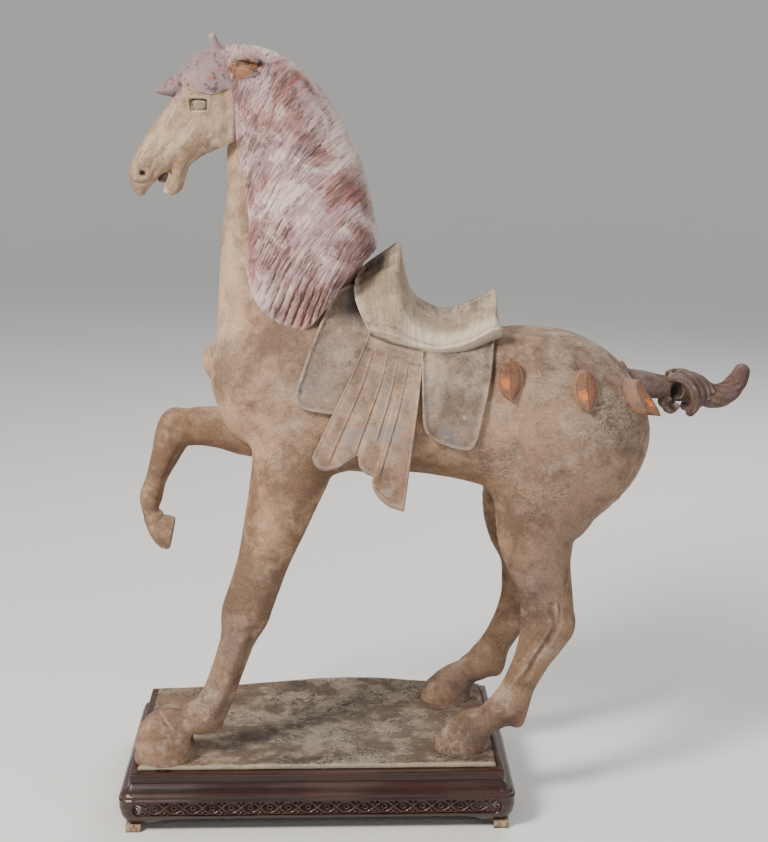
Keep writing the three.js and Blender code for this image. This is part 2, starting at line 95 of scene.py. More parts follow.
# Lines in the skin: depth (below zero a ridge), width, and their points x and z on the side
FACE_LINES = [
    (1.8, 1.2, [(-119.5, 655), (-117.6, 649), (-116, 641.5)]),
    (-1.0, 1.6, [(-122, 656), (-116, 659), (-108, 659.8)]),
    (-1.1, 4, [(-119.8, 638), (-133, 624), (-146, 610)]),
    (1.0, 3.4, [(-124, 645), (-140, 624), (-154, 606), (-164, 594)]),
    (-2.6, 3.2, [(-77.5, 664), (-76.5, 640), (-77, 614)]),
    (1.5, 3.6, [(-84, 660), (-83, 640), (-84, 620)]),
    (1.9, 2.6, [(-162, 583), (-155, 592), (-145, 604)]),
    (-1.0, 2.4, [(-173, 586), (-166, 592), (-158, 598)]),
]
LIP_LINES = [
    (1.8, 1.3, [(-167, 580), (-170, 578.4), (-172.6, 577)]),
    (1.6, 1.3, [(-179, 574.5), (-176, 571.4), (-166.4, 571.4), (-157.5, 575.5), (-155, 583)]),
    (0.8, 2.2, [(-152, 583), (-150, 590), (-145, 594)]),
]
JAW_LINES = [(1.6, 1.3, [(-139, 580), (-141, 572), (-146.5, 564)])]
FORELOCK_LINES = [(2.2, 1.2, [(-134, 673), (-129.5, 667), (-127, 663), (-130, 656)])]
EAR_LINES = [
    (2.6, 1.5, [(-78, 686), (-69, 687), (-60, 685), (-49, 681)]),
    (1.5, 1.3, [(-76, 676), (-72, 670), (-66, 667), (-58, 669)]),
    (0.9, 1.5, [(-74, 680), (-64, 677), (-55, 676.5)]),
]
FORE_LINES = [
    (1.8, 4, [(-92, 143), (-84, 134), (-72, 130), (-60, 134), (-55, 140)]),
    (2.4, 3.2, [(-64, 128), (-72, 98), (-88, 62), (-98, 43)]),
    (-1.3, 4, [(-74, 128), (-84, 98), (-98, 61), (-112, 44)]),
    (-1.0, 3, [(-57, 132), (-66, 110), (-76, 88)]),
]
HIND_LINES = [
    (3.2, 2.6, [(236, 156), (238, 146), (240, 135), (232, 120), (220, 98), (211, 80)]),
    (2.4, 2.0, [(243, 154), (244, 146), (243, 136), (236, 122), (230, 112)]),
    (-1.7, 3.6, [(228, 156), (229, 148), (233, 134), (226, 118), (206, 84), (186, 54), (168, 44)]),
    (-1.1, 2.0, [(240, 154), (241, 142), (239, 130)]),
    (0.9, 4, [(250, 150), (252, 144), (254, 136)]),
    (1.2, 4, [(214, 150), (214, 142), (217, 134), (214, 118)]),
    (1.0, 3, [(219, 120), (205, 92), (192, 68)]),
]
RAISED_LINES = [
    (1.3, 2.2, [(-141, 296), (-152, 276), (-160, 252), (-166, 236)]),
    (0.9, 4, [(-158, 326), (-150, 314), (-147, 302)]),
    (1.0, 5, [(-133, 332), (-128, 322), (-130, 308)]),
]

# Lower edge of the hair cap on the side of the head (x, z), and how thick it is laid on
CAP_EDGE = [
    (-150, 676), (-132, 671), (-123, 664), (-116, 661.4), (-110, 660.9), (-103.2, 658.5), (-96.4, 657.1),
    (-87.8, 659.7), (-80.9, 662.2), (-75.8, 663), (-30, 668),
]
CAP_THICK = 1.7
FORELOCK_BACK = [(-112, 0, 667, 11, 14), (-121, 0, 667.5, 9.5, 14), (-131, 0, 666, 9, 13)]
FORELOCK_FRONT = [
    (-127, 0, 664, 9, 13), (-136, 0, 662.5, 9.8, 13.5), (-145, 0, 660.5, 6, 10), (-151, 0, 660, 3.2, 6),
    (-154, 0, 660.6, 1.5, 2.6),
]
EAR = [
    (-84, 14, 680, 17, 9), (-88, 15, 689, 13, 8), (-91, 15.5, 695, 10, 6.5), (-93.5, 16, 701, 6.5, 5.3),
    (-95, 16, 706, 4.6, 4.4), (-96.2, 16, 711, 3.6, 3.6),
]
EAR_FAR_RISE = 0.72
EAR_LEAF = [
    (-77, 30, 681.5, 3.5, 5), (-68, 33, 677, 8, 6), (-59, 34.5, 677, 6.5, 5), (-51, 34, 676.5, 2, 2.5),
]
EAR_CURL = [(-71, 30, 688, 4, 4), (-62, 32, 692, 5, 5), (-54, 31.5, 689, 4, 4)]

# Legs: x, y, z, half depth, half width
NEAR_FORE = [
    (4, -40, 345, 66, 34), (-19, -47, 305, 44, 34), (-27, -53, 280, 38, 31), (-41, -57, 235, 31, 27),
    (-54, -60, 195, 25.5, 23), (-66, -63, 160, 24.5, 21), (-72, -64, 141, 23.5, 21), (-79, -66, 121, 18, 18),
    (-83, -67, 108, 16.5, 16), (-91, -70, 85, 16, 15), (-101, -72, 60, 16.5, 15), (-112, -74, 43, 18, 18),
    (-132, -77, 33, 17, 18), (-146, -79, 22, 16, 18),
]
FAR_FORE = [
    (-12, 38, 330, 40, 34), (-44, 42, 309, 29, 29), (-72, 44, 307, 25, 25), (-100, 45, 312, 22, 21),
    (-128, 46, 313, 20, 19), (-147, 46, 307, 20, 18), (-159, 47, 281, 14.5, 14), (-168.5, 48, 257, 11, 11),
    (-175, 49, 236, 12, 12), (-176, 50, 222, 9, 10), (-173, 51, 214, 11, 12),
]
NEAR_HIND = [
    (236, -38, 330, 80, 42), (238, -43, 287, 74, 40), (229, -49, 251, 54, 35), (222, -53, 222, 41, 29),
    (224, -56, 197, 34, 25), (231, -58, 168, 27, 22), (233, -60, 142, 27, 21), (231, -61, 122, 26, 20),
    (219, -63, 95, 19, 15), (206, -65, 68, 16.5, 14), (195, -66, 46, 19, 17), (176, -67, 32, 15, 16),
    (160, -67, 20, 14, 16),
]
FAR_HIND_AHEAD = (0, 0, 3, 6, 8, 8, 8, 8, 9, 11, 13, 12, 9)
FAR_HIND = [
    (x - ahead, -y, z, deep, wide) for (x, y, z, deep, wide), ahead in zip(NEAR_HIND, FAR_HIND_AHEAD)
]
HOCK_AHEAD = 10

# Knobs of the lifted knee and of the hocks, spurs behind the pasterns, and the grooves round the
# tops of the hooves: their places over one standing fore hoof, and over half of the others
KNEE = ((-150, 46, 318), (10, 14, 13))
HOCK = ((251, 61, 130), (9, 13, 14))
FORE_SPUR = [(-113, -74, 42, 13, 14), (-107, -74, 34, 10, 12), (-101, -74, 26.5, 5, 8)]
HIND_SPUR = [(199, 42, 14, 14), (203, 32, 10, 12), (204.5, 25, 6, 9)]
FORE_CORONET = [
    (-126, -55, 17), (-136, -54, 24), (-148, -58, 37), (-158, -66, 46), (-162, -78, 48.5),
    (-160, -88, 47.5), (-152, -97, 40), (-143, -102, 30), (-134, -103, 22), (-125, -101, 16),
]
HIND_CORONET = [(174, 20, 20), (169, 23, 24), (163, 21, 31), (158, 17, 37), (154, 9, 43), (153, 0, 45)]
RAISED_CORONET = [(-186, 0, 216), (-182, 8, 217), (-174, 12, 219), (-163, 11, 222), (-158, 5, 223)]

# Hooves: z above the sole, front x, back x, half width
FORE_HOOF = [(-6, -31, 33, 28), (14, -30, 31, 26), (30, -27, 26, 23), (42, -18, 20, 16), (50, -8, 12, 9)]
HIND_HOOF = [(-6, -29, 27, 24), (8, -28, 27, 24), (19, -21, 26, 22), (29, -10, 23, 18), (39, 4, 17, 10)]
NEAR_FORE_SOLE = (-154, -82)
NEAR_HIND_SOLE = (148, -67)
FAR_HIND_SOLE = (139, 67)
RAISED_SOLE = {"at": (-157, 51, 197), "turn": -1.37, "size": 0.66}

# Mane: hem point (x, y, z) and crest point (x, z) of the same lock, from the poll to the withers
MANE = [
    (-78, 27, 668, -92, 701), (-75, 30, 640, -68, 704), (-74, 31, 613, -40, 698), (-70, 34, 588, -18, 686),
    (-65, 38, 560, 4, 666), (-63, 41, 525, 20, 645), (-66, 43, 492, 34, 620), (-60, 48, 464, 45, 597),
    (-46, 54, 444, 52, 575), (-28, 58, 434, 57, 555), (-7, 60, 433, 60, 538), (12, 57, 452, 62, 526),
    (28, 50, 474, 63, 518), (44, 40, 491, 63, 512), (56, 28, 503, 62, 507),
]
MANE_GRID = {"along": 400, "down": 74, "swell": 7, "edge": 7}
# How far a lock's bend lies from the crest towards the hem, in x and in z
MANE_BEND = (0.72, 0.36)
# Strands, fine lines and hem grooves over the mane's length: how many, and how high
STRANDS, HAIRS, GOUGES = (27, 1.2), (74, 0.32), (34, 2.6)

# Saddle: ridge x, ridge z, edge x, edge half width, edge z
SADDLE = [
    (50, 482, 54, 57, 429), (63, 494, 62, 58, 426), (77, 505, 72, 59, 423), (86, 508, 82, 60, 419),
    (92, 477, 92, 59, 416), (103, 456, 104, 59, 413), (129, 443, 122, 60, 411), (152, 448, 142, 60, 414),
    (170, 456, 158, 59, 420), (181, 461, 172, 58, 428), (182, 443, 179, 57, 431), (187, 425, 184, 55, 432),
]
SADDLE_LOBE = 12
SADDLE_FLOOR = 12

# Saddle cloths: how proud they lie, and their outlines on the side of the barrel (x, z)
CLOTH_PROUD = 5
FRONT_CLOTH = [
    (70, 470), (26, 470), (2, 430), (-15, 386), (-19, 370), (-14, 359), (4, 354), (30, 351), (70, 352),
]
REAR_CLOTH = [
    (104, 440), (104, 364), (107, 336), (120, 323), (147, 315), (158, 323), (168, 366), (175, 404),
    (177, 450),
]

# Pleated flap: hem x, hem z, top x, top z, how far the fold stands out
FLAP = [
    (-3, 310, 54, 429, 0), (1, 301, 57, 426, 3), (10, 297, 61, 424, 1), (22, 300, 66, 422, 4),
    (32, 306, 71, 420, 2), (41, 311, 76, 418, 0), (43, 302, 79, 417, 4), (49, 294, 83, 416, 2),
    (56, 290, 88, 415, 0), (56, 281, 91, 414, 4), (62, 269, 96, 413, 2), (73, 260, 101, 412, 3),
    (87, 255, 107, 411, 1),
]
FLAP_FORM = {"top": 60, "low": 87, "turn": 0.38, "thick": 7}
# Pleat lines: part of the width, and how far down each runs
FLAP_PLEATS = [(0.17, 0.93), (0.39, 0.97), (0.6, 0.72), (0.8, 0.88)]

# Leaf plaques on the rump: x, z, half width across the barrel, turn outward, how far the tip stands
# out, and size
PLAQUES = [(190, 385, 74, 0.1, 12, 1), (264, 373, 72, 0.3, 13, 1), (318, 362, 50, 1.1, 27, 0.9)]
PLAQUE_HALF = (13.5, 19.5)
PLAQUE_RISE = 3
PLAQUE_SUNK = 12

# Tail: x, z, half depth, half width
TAIL_ROOT = [(300, 368, 15, 17), (330, 365, 14, 16), (350, 362, 12.5, 14), (372, 359, 12, 13)]
TAIL_END = [
    (372, 361, 14, 14), (390, 357, 13, 13), (407, 352, 13, 12), (420, 356, 12, 11),
    (430, 367, 10.5, 10), (434.5, 377, 8.5, 8.5),
]

# Knot of the tail on one side, x, y, z, half depth, half width: the front loop, three bands behind it
# and a small lower loop; then the hollow that the front loop goes round, painted dark as shade
TAIL_BANDS = [
    [(362, 8, 373, 5, 5), (370, 14, 373, 5, 5.5), (378, 17, 367, 5.5, 6), (383.5, 18, 357, 5.5, 6),
     (384.5, 17, 346, 5.5, 5.5), (380, 14, 338, 5, 5)],
    [(371, 2, 376, 4.5, 5), (380, 9, 373, 4.5, 5), (388, 13, 365, 4.5, 5), (391, 14, 355, 4.5, 5),
     (390, 12, 346, 4, 4)],
    [(381, 1, 374, 4, 4.5), (390, 8, 370, 4, 4.5), (396, 11, 362, 4, 4.5), (398, 11, 353, 3.5, 4)],
    [(391, 1, 371, 3.5, 4), (398, 7, 366, 3.5, 4), (403, 10, 359, 3, 4)],
    [(359, 9, 351, 4, 4.5), (356, 12, 344, 4.5, 4.5), (361, 12, 340, 4, 4.5), (367, 11, 344, 3.5, 4)],
]
TAIL_HOLLOW = ((366, 17, 359), (6.5, 12, 9.5))
TAIL_LOOP_LINE = (1.6, 1.1, [(366, 374), (374, 371), (380.5, 362), (382.5, 350), (380, 340)])
TAIL_TWIST = {"strands": 9, "turns": -0.6, "from": 0.16, "to": 0.8, "deep": 1.8, "wide": 1.3}

# Stand: half size of the rim, height and standing out of the moulding, height of the pierced slots
RIM_HALF = np.array([SLAB["long"] / 2 + 8, SLAB["deep"] / 2 + 8])
MOULDING = [
    (8.3, 1), (11, 4), (14.5, 6.6), (18, 8.6), (26, 10.6), (33.4, 10.4), (34.2, 11), (35.2, 11),
    (36, 10), (37, 9), (38, 9.3), (39.4, 9.3), (40.4, 8.2), (41.4, 7.8), (42.2, 6.4), (43.4, 4.4),
    (45, 2.1), (47, 0.2), (49, -1), (50, -1.5), (50.4, -0.4), (51, 0), (52.6, 0), (53, -0.7),
    (53.4, 0), (55.4, 0), (55.8, -0.7), (56.2, 0), (58.4, 0), (59.3, -0.5), (60, -1.5),
]
SLOT_LOW, SLOT_HIGH = 18, 34
SLOT_END = 3
SLOT_CROWD = (0, 1.2, 2.5, 4, 5.5, 7, 8, 9, 10.5, 12, 14, 17, 20, 24, 28, 33, 38, 46, 56)
VINE = {"wave": 38, "rise": 5.4, "out": 6, "half": 2.0, "border": 1.3, "stem": 0.95}
# Ring in each eye with its wire, then reach and height over the middle of bud, leaves and tips
RING, RING_WIRE = 2.4, 0.7
BUD, LEAF, TIP = (1.35, 5.0), (1.0, 3.3), (0.9, 6.2)
PANEL_HEIGHTS = (49.2, 43.6)
FRAME_TOP = 59.6

# Where the clay is paler, more ochre, greyer, browner, painted behind the ear or scratched, on both
# sides: x, z, half reach in x and z, and how strongly
TONES = {
    "pale": [
        (-145, 605, 55, 60, 1), (-88, 520, 26, 110, 0.9), (-98, 430, 22, 50, 0.4), (95, 455, 60, 50, 0.5),
        (-150, 20, 40, 30, 0.4), (255, 300, 60, 50, 0.35),
    ],
    "ochre": [
        (-40, 250, 45, 80, 0.5), (110, 280, 90, 16, 0.8), (170, 110, 45, 90, 0.45),
        (-140, 300, 60, 60, 0.45), (200, 190, 30, 40, 0.3), (0, 455, 60, 30, 0.3),
    ],
    "grey": [
        (275, 330, 60, 80, 0.4), (-84, 120, 18, 34, 0.8), (222, 175, 26, 34, 0.8), (160, 22, 34, 22, 0.6),
        (265, 395, 70, 22, 0.6), (-20, 370, 40, 40, 0.5), (10, 420, 40, 40, 0.5),
        (250, 230, 40, 25, 0.35), (-105, 60, 14, 20, 0.5),
    ],
    "brown": [
        (-145, 25, 50, 45, 0.85), (160, 25, 60, 45, 0.9), (205, 120, 45, 80, 0.75),
        (-88, 110, 34, 70, 0.6), (120, 285, 90, 22, 0.6), (255, 240, 60, 50, 0.45),
        (-165, 240, 25, 60, 0.4), (230, 300, 90, 60, 0.45), (230, 150, 50, 110, 0.4),
        (-110, 60, 60, 90, 0.4),
    ],
    "poll": [(-64, 681, 19, 13, 1)],
    "scratched": [
        (270, 370, 75, 60, 1), (215, 300, 60, 45, 0.6), (-10, 360, 45, 50, 0.4),
        (-110, 70, 30, 60, 0.4), (130, 430, 60, 40, 0.5), (190, 110, 30, 60, 0.4),
        (0, 0, 200, 14, 0.8),
    ],
}

# Lean of the face, for the brush marks down it, in radians
FACE_SLOPE = -0.97

# Colours of the clay's tones, how far each changes the clay, and colours of what lies on it and of painted
# shade
TONE_SHADES = (
    ("pale", (0.54, 0.385, 0.265), 0.8), ("ochre", (0.37, 0.2, 0.1), 0.6),
    ("brown", (0.19, 0.113, 0.072), 0.85), ("grey", (0.17, 0.127, 0.112), 0.7),
)
# Dust, then dirt with painted shade for the grooves, then chalk
DUST, DIRT_AND_SHADE, CHALK = (0.48, 0.39, 0.29), (0.05, 0.034, 0.025), (0.68, 0.59, 0.48)
# Painted shade for the mouth, the nostrils, the inner eye corners and under the forelock
PIT_SHADE = (0.022, 0.014, 0.012)

# Where the body is cut in two pieces, under the saddle
BODY_CUT = 104

# Where the fine lattices of the feet take over from the body's, with the overlap of the two
FOOT_TOP = 165
RAISED_FRONT = -106
OVERLAP = 3

# Lattice steps and the reach of a field past its surface
STEP = {"body": 2.4, "foot": 1.5, "head": 1.1, "cloth": 1.9, "small": 1.1, "vine": 1.15}
FAR = 24.0

# The photograph's camera in slab millimetres and radians, its focal length in photo pixels
CAMERA = {"at": (22.33, -1748.67, 715.92), "down": 0.218426, "right": 0.0270101, "focal": 1755.93}
PHOTO = (768, 842)

# Lights: place and size in metres, watts and colour; then the sky's strength and the floor's flat
# reach and the bend and height of its rim, in metres
LIGHTS = (
    ("key", (-1.5, -1.4, 2.0), 0.65, 98, (1, 0.93, 0.85)),
    ("fill", (1.7, -1.4, 0.9), 1.6, 10, (0.9, 0.95, 1)),
    ("back", (0.8, 1.5, 1.7), 1.0, 26, (1, 0.98, 0.95)),
)
SKY = 0.42
FLOOR = {"flat": 4.0, "rise": 2.6, "top": 3.4}


def spline(rows, t):
    """Catmull-Rom curve through rows of numbers, for t from 0 at the first row to 1 at the last."""
    rows = np.asarray(rows, float)
    last = len(rows) - 1
    place = np.clip(np.asarray(t, float), 0, 1) * last
    i = np.minimum(place.astype(int), last - 1)
    f = (place - i)[..., None]
    a, b, c, d = (rows[np.clip(i + k, 0, last)] for k in (-1, 0, 1, 2))
    return b + 0.5 * f * ((c - a) + f * ((2 * a - 5 * b + 4 * c - d) + f * (3 * b - a - 3 * c + d)))


def smooth(low, high, value):
    """Smoothstep of a value between two limits."""
    t = np.clip((value - low) / (high - low), 0, 1)
    return t * t * (3 - 2 * t)


def bell(value, wide):
    """One at zero, fading on both sides over a width."""
    return np.exp(-((value / wide) ** 2))


def on_middle(rows):
    """Rows of x, z, half depth and half width as limb rows on the middle plane."""
    return [(x, 0, z, deep, wide) for x, z, deep, wide in rows]


def on_side(rows, side):
    """Limb rows given for the far side, on the far (1) or the near side (-1)."""
    return [(x, side * y, *rest) for x, y, *rest in rows]


def waves(x, y, z, size, seed, octaves=3):
    """Sum of sine waves in fixed random directions, about -1 to 1; each octave is half as long and half
    as high as the one before."""
    rng = np.random.default_rng(seed)
    total = 0
    for octave in range(octaves):
        for _ in range(5):
            way = rng.normal(size=3)
            way *= 2 * math.pi * 2**octave / (size * np.linalg.norm(way))
            total = total + np.sin(way[0] * x + way[1] * y + way[2] * z + rng.uniform(0, 6.28)) / 2**octave
    return total / 5


class Lattice:
    """A field of distances to a surface, in millimetres and negative inside, on the evenly spaced
    points of a box."""

    def __init__(self, low, high, step):
        self.low = np.array(low, float)
        self.step = step
        self.shape = tuple(np.ceil((np.array(high) - self.low) / step).astype(int) + 1)
        self.field = np.full(self.shape, FAR, np.float32)

    def cells(self, low, high):
        """Slices of the points inside a box."""
        first = np.clip(np.floor((np.asarray(low) - self.low) / self.step).astype(int), 0, self.shape)
        last = np.clip(np.ceil((np.asarray(high) - self.low) / self.step).astype(int) + 1, 0, self.shape)
        return tuple(slice(a, b) for a, b in zip(first, last))

    def places(self, cells):
        """x, y and z of the points in those slices, as arrays that broadcast together."""
        lines = [
            (self.low[k] + self.step * np.arange(cells[k].start, cells[k].stop)).astype(np.float32)
            for k in range(3)
        ]
        return lines[0][:, None, None], lines[1][None, :, None], lines[2][None, None, :]

    def everywhere(self):
        """Slices of all points."""
        return tuple(slice(0, n) for n in self.shape)

    def melt(self, cells, other, soft):
        """Union with another field; the crease between them is filled over soft millimetres."""
        mine = self.field[cells]
        overlap = np.maximum(soft - np.abs(mine - other), 0) / soft
        self.field[cells] = np.minimum(mine, other) - overlap**2 * (soft / 4)

    def carve(self, cells, other, soft):
        """Takes another field's inside away, its rim rounded over soft millimetres."""
        mine = self.field[cells]
        overlap = np.maximum(soft - np.abs(mine + other), 0) / soft
        self.field[cells] = np.maximum(mine, -other) + overlap**2 * (soft / 4)

    def tube(self, rows, square=2.0, count=40, blunt=0.4):
        """Cells and field of a limb along rows of x, y, z, half depth and half width. Each point takes
        its nearest place on the path; its distance is the way from there less the radius of the
        superellipse section in its direction. Past the ends the way counts for more, by 1 / blunt."""
        stations = spline(rows, np.linspace(0, 1, count))
        reach = stations[:, 3:].max() + FAR
        box = self.cells(stations[:, :3].min(0) - reach, stations[:, :3].max(0) + reach)
        field = np.full([part.stop - part.start for part in box], FAR, np.float32)
        nearest = np.full(field.shape, np.inf, np.float32)
        for station, (start, end) in enumerate(zip(stations[:-1], stations[1:])):
            reach = max(start[3:].max(), end[3:].max()) + FAR
            cells = self.cells(np.minimum(start, end)[:3] - reach, np.maximum(start, end)[:3] + reach)
            x, y, z = self.places(cells)
            ahead = end[:3] - start[:3]
            length = np.linalg.norm(ahead)
            ahead = ahead / length
            across = np.array([0, 1, 0]) - ahead * ahead[1]
            across /= np.linalg.norm(across)
            fore = np.cross(ahead, across)
            dx, dy, dz = x - start[0], y - start[1], z - start[2]
            full = dx * ahead[0] + dy * ahead[1] + dz * ahead[2]
            run = np.clip(full, 0, length)
            dx, dy, dz = dx - run * ahead[0], dy - run * ahead[1], dz - run * ahead[2]
            way = dx * dx + dy * dy + dz * dz
            deep, wide = (start[k] + (end[k] - start[k]) * run / length for k in (3, 4))
            front = np.abs(dx * fore[0] + dy * fore[1] + dz * fore[2]) + 1e-3
            side = np.abs(dx * across[0] + dy * across[1] + dz * across[2]) + 1e-3
            ratio = ((front / deep) ** square + (side / wide) ** square) ** (1 / square)
            beyond = (station == 0) & (full < 0) | (station == count - 2) & (full > length)
            past = np.where(beyond, full - run, 0)
            stretched = np.sqrt(way + past * past * (1 / blunt**2 - 1))
            distance = stretched - np.hypot(front, side) / ratio
            local = tuple(slice(c.start - b.start, c.stop - b.start) for c, b in zip(cells, box))
            closer = way < nearest[local]
            nearest[local] = np.where(closer, way, nearest[local])
            field[local] = np.where(closer, distance, field[local])
        return box, np.minimum(field, FAR)

    def loft(self, rows, square):
        """Cells and field of a body whose section at each x is a superellipse on the middle plane, from
        rows of x, top, bottom and half width. Its distance is the way out along the section, divided by
        its slope, so that it stays true where the body closes quickly."""
        rows = spline(rows, np.linspace(0, 1, 200))
        low = np.array([rows[:, 0].min(), -rows[:, 3].max(), rows[:, 2].min()]) - FAR
        cells = self.cells(low, (rows[:, 0].max() + FAR, rows[:, 3].max() + FAR, rows[:, 1].max() + FAR))
        x, y, z = self.places(cells)
        top, bottom, wide = (np.interp(x, rows[:, 0], rows[:, k]) for k in (1, 2, 3))
        up, side = np.abs(z - (top + bottom) / 2) + 1e-3, np.abs(y) + 1e-3
        ratio = ((up / ((top - bottom) / 2)) ** square + (side / wide) ** square) ** (1 / square)
        flat = np.hypot(up, side)
        past = np.maximum(np.maximum(rows[0, 0] - x, x - rows[-1, 0]), 0)
        way = flat - flat / ratio
        field = np.where(past > 0, np.hypot(np.maximum(way, 0), past), way).astype(np.float32)
        steep = np.sqrt(sum(part * part for part in np.gradient(field, self.step)))
        return cells, np.minimum(field / np.maximum(steep, 1), FAR)

    def ball(self, at, half, turn=(0, 0), power=2):
        """Cells and field of an ellipsoid, or with a higher power of a rounded block, turned about Z and
        then leant about Y, in radians."""
        reach = max(half) + FAR
        cells = self.cells(np.array(at) - reach, np.array(at) + reach)
        x, y, z = self.places(cells)
        x, y, z = turned(x - at[0], y - at[1], z - at[2], *turn)
        way = np.sqrt(x * x + y * y + z * z) + 1e-3
        parts = [np.abs(part / size) ** power for part, size in zip((x, y, z), half)]
        ratio = (parts[0] + parts[1] + parts[2]) ** (1 / power) + 1e-4
        return cells, np.minimum(way - way / ratio, FAR)

    def join(self, rows, soft=8, square=2.0, count=40, blunt=0.4):
        """Melts a limb in."""
        self.melt(*self.tube(rows, square, count, blunt), soft)

    def swell(self, at, half, soft=6, turn=(0, 0), power=2):
        """Melts an ellipsoid or rounded block in."""
        self.melt(*self.ball(at, half, turn, power), soft)

    def hollow(self, at, half, soft=3, turn=(0, 0), power=2):
        """Takes an ellipsoid or rounded block away."""
        self.carve(*self.ball(at, half, turn, power), soft)

    def on_skin(self, path, side):
        """Points of x and z put on the nearer (side -1) or farther skin, with their y."""
        path = np.asarray(path, float)
        i = np.clip(np.round((path[:, 0] - self.low[0]) / self.step).astype(int), 0, self.shape[0] - 1)
        k = np.clip(np.round((path[:, 1] - self.low[2]) / self.step).astype(int), 0, self.shape[2] - 1)
        columns = self.field[i, :, k]
        y = self.low[1] + self.step * np.arange(self.shape[1])
        last = np.argmax(np.where(columns < 0, side * y, -1e6), axis=1)
        out = y[last] - side * columns[np.arange(len(path)), last]
        return np.stack([path[:, 0], out, path[:, 1]], 1)

    def groove(self, path, side, deep, wide):
        """Press along points of x and z on one side's skin."""
        self.press(self.on_skin(spline(path, np.linspace(0, 1, 3 * len(path))), side), deep, wide)

    def creases(self, rows, side):
        """Presses rows of depth, width and path on one side's skin, one after the other."""
        for deep, wide, path in rows:
            self.groove(path, side, deep, wide)

    def press(self, path, deep, wide):
        """Sinks the surface along a path of points, by deep at the line, fading over wide as a bell.
        A negative depth raises a ridge."""
        path = spline(path, np.linspace(0, 1, max(12, 2 * len(path))))
        margin = 3 * wide
        cells = self.cells(path.min(0) - margin, path.max(0) + margin)
        x, y, z = self.places(cells)
        nearest = np.full(self.field[cells].shape, np.inf, np.float32)
        for start, end in zip(path[:-1], path[1:]):
            ahead = end - start
            dx, dy, dz = x - start[0], y - start[1], z - start[2]
            run = np.clip((dx * ahead[0] + dy * ahead[1] + dz * ahead[2]) / (ahead @ ahead + 1e-9), 0, 1)
            way = (dx - run * ahead[0]) ** 2 + (dy - run * ahead[1]) ** 2 + (dz - run * ahead[2]) ** 2
            nearest = np.minimum(nearest, way)
        self.field[cells] += deep * np.exp(-nearest / wide**2)

    def sample(self, points):
        """Field at any points, between the eight lattice points around each."""
        place = (points - self.low) / self.step
        i = np.clip(np.floor(place).astype(int), 0, np.array(self.shape) - 2)
        f = place - i
        total = 0
        for corner in np.ndindex(2, 2, 2):
            weight = np.prod(np.where(corner, f, 1 - f), axis=1)
            total = total + weight * self.field[tuple((i + corner).T)]
        return total

    def slope(self, points):
        """Direction in which the field grows fastest."""
        step = 0.6 * self.step
        gaps = [self.sample(points + step * way) - self.sample(points - step * way) for way in np.eye(3)]
        slope = np.stack(gaps, 1)
        return slope / (np.linalg.norm(slope, axis=1, keepdims=True) + 1e-9)

    def skin(self, rounds=3):
        """Surface nets: a point in each cell that the surface crosses, at the mean of its edge crossings,
        and a quad round each lattice edge whose ends lie on different sides. Then the points are
        evened out and brought back to the surface."""
        field = self.field
        inside = field < 0
        corners = list(np.ndindex(2, 2, 2))
        part = lambda c: tuple(slice(k, k + n - 1) for k, n in zip(c, field.shape))
        count = sum(inside[part(c)].astype(np.int8) for c in corners)
        mixed = (count > 0) & (count < 8)
        cell = np.argwhere(mixed)
        number = np.full(mixed.shape, -1, np.int32)
        number[mixed] = np.arange(len(cell))
        values = {c: field[tuple((cell + c).T)] for c in corners}
        total = np.zeros((len(cell), 3))
        hits = np.zeros(len(cell))
        for a in corners:
            for axis in range(3):
                if a[axis] == 0:
                    b = tuple(1 if k == axis else a[k] for k in range(3))
                    crossed = (values[a] < 0) != (values[b] < 0)
                    t = np.where(crossed, values[a] / (values[a] - values[b] + 1e-12), 0)
                    total += crossed[:, None] * (np.array(a) + t[:, None] * (np.array(b) - np.array(a)))
                    hits += crossed
        points = (cell + total / hits[:, None]) * self.step + self.low
        quads = []
        for axis in range(3):
            b, c = (axis + 1) % 3, (axis + 2) % 3
            low = [slice(1, n - 1) for n in field.shape]
            high = list(low)
            low[axis] = slice(0, field.shape[axis] - 1)
            high[axis] = slice(1, field.shape[axis])
            first, second = inside[tuple(low)], inside[tuple(high)]
            edge = np.argwhere(first != second)
            leaving = first[tuple(edge.T)]
            edge += [0 if k == axis else 1 for k in range(3)]
            step_b, step_c = np.eye(3, dtype=int)[b], np.eye(3, dtype=int)[c]
            around = [edge, edge - step_b, edge - step_b - step_c, edge - step_c]
            quad = np.stack([number[tuple(at.T)] for at in around], 1)
            quads.append(np.where(leaving[:, None], quad, quad[:, ::-1]))
        quads = np.concatenate(quads)
        for _ in range(rounds):
            points = 0.5 * points + 0.5 * neighbour_mean(points, quads)
            for _ in range(2):
                points = points - self.slope(points) * self.sample(points)[:, None]
        return points, quads


def turned(x, y, z, about_z, about_y):
    """The same places seen from axes turned about Z and then leant about Y."""
    c, s = math.cos(about_z), math.sin(about_z)
    x, y = c * x + s * y, c * y - s * x
    c, s = math.cos(about_y), math.sin(about_y)
    return c * x - s * z, y, s * x + c * z


def neighbour_mean(points, faces):
    """Mean of the points that share an edge with each point."""
    total = np.zeros(points.shape)
    count = np.zeros(len(points))
    for a, b in ((faces, np.roll(faces, 1, 1)), (faces, np.roll(faces, -1, 1))):
        a, b = a.ravel(), b.ravel()
        count += np.bincount(a, minlength=len(points))
        for k in range(points.shape[1]):
            total[:, k] += np.bincount(a, points[b, k], len(points))
    return total / np.maximum(count, 1)[:, None]


def grid_faces(rows, columns, close_rows=False, close_columns=False):
    """Quads over a grid of rows by columns of points, numbered row by row."""
    i = np.arange(rows if close_rows else rows - 1)
    j = np.arange(columns if close_columns else columns - 1)
    i, j = (part.ravel() for part in np.meshgrid(i, j, indexing="ij"))
    down, right = (i + 1) % rows, (j + 1) % columns
    return np.stack([i * columns + j, down * columns + j, down * columns + right, i * columns + right], 1)


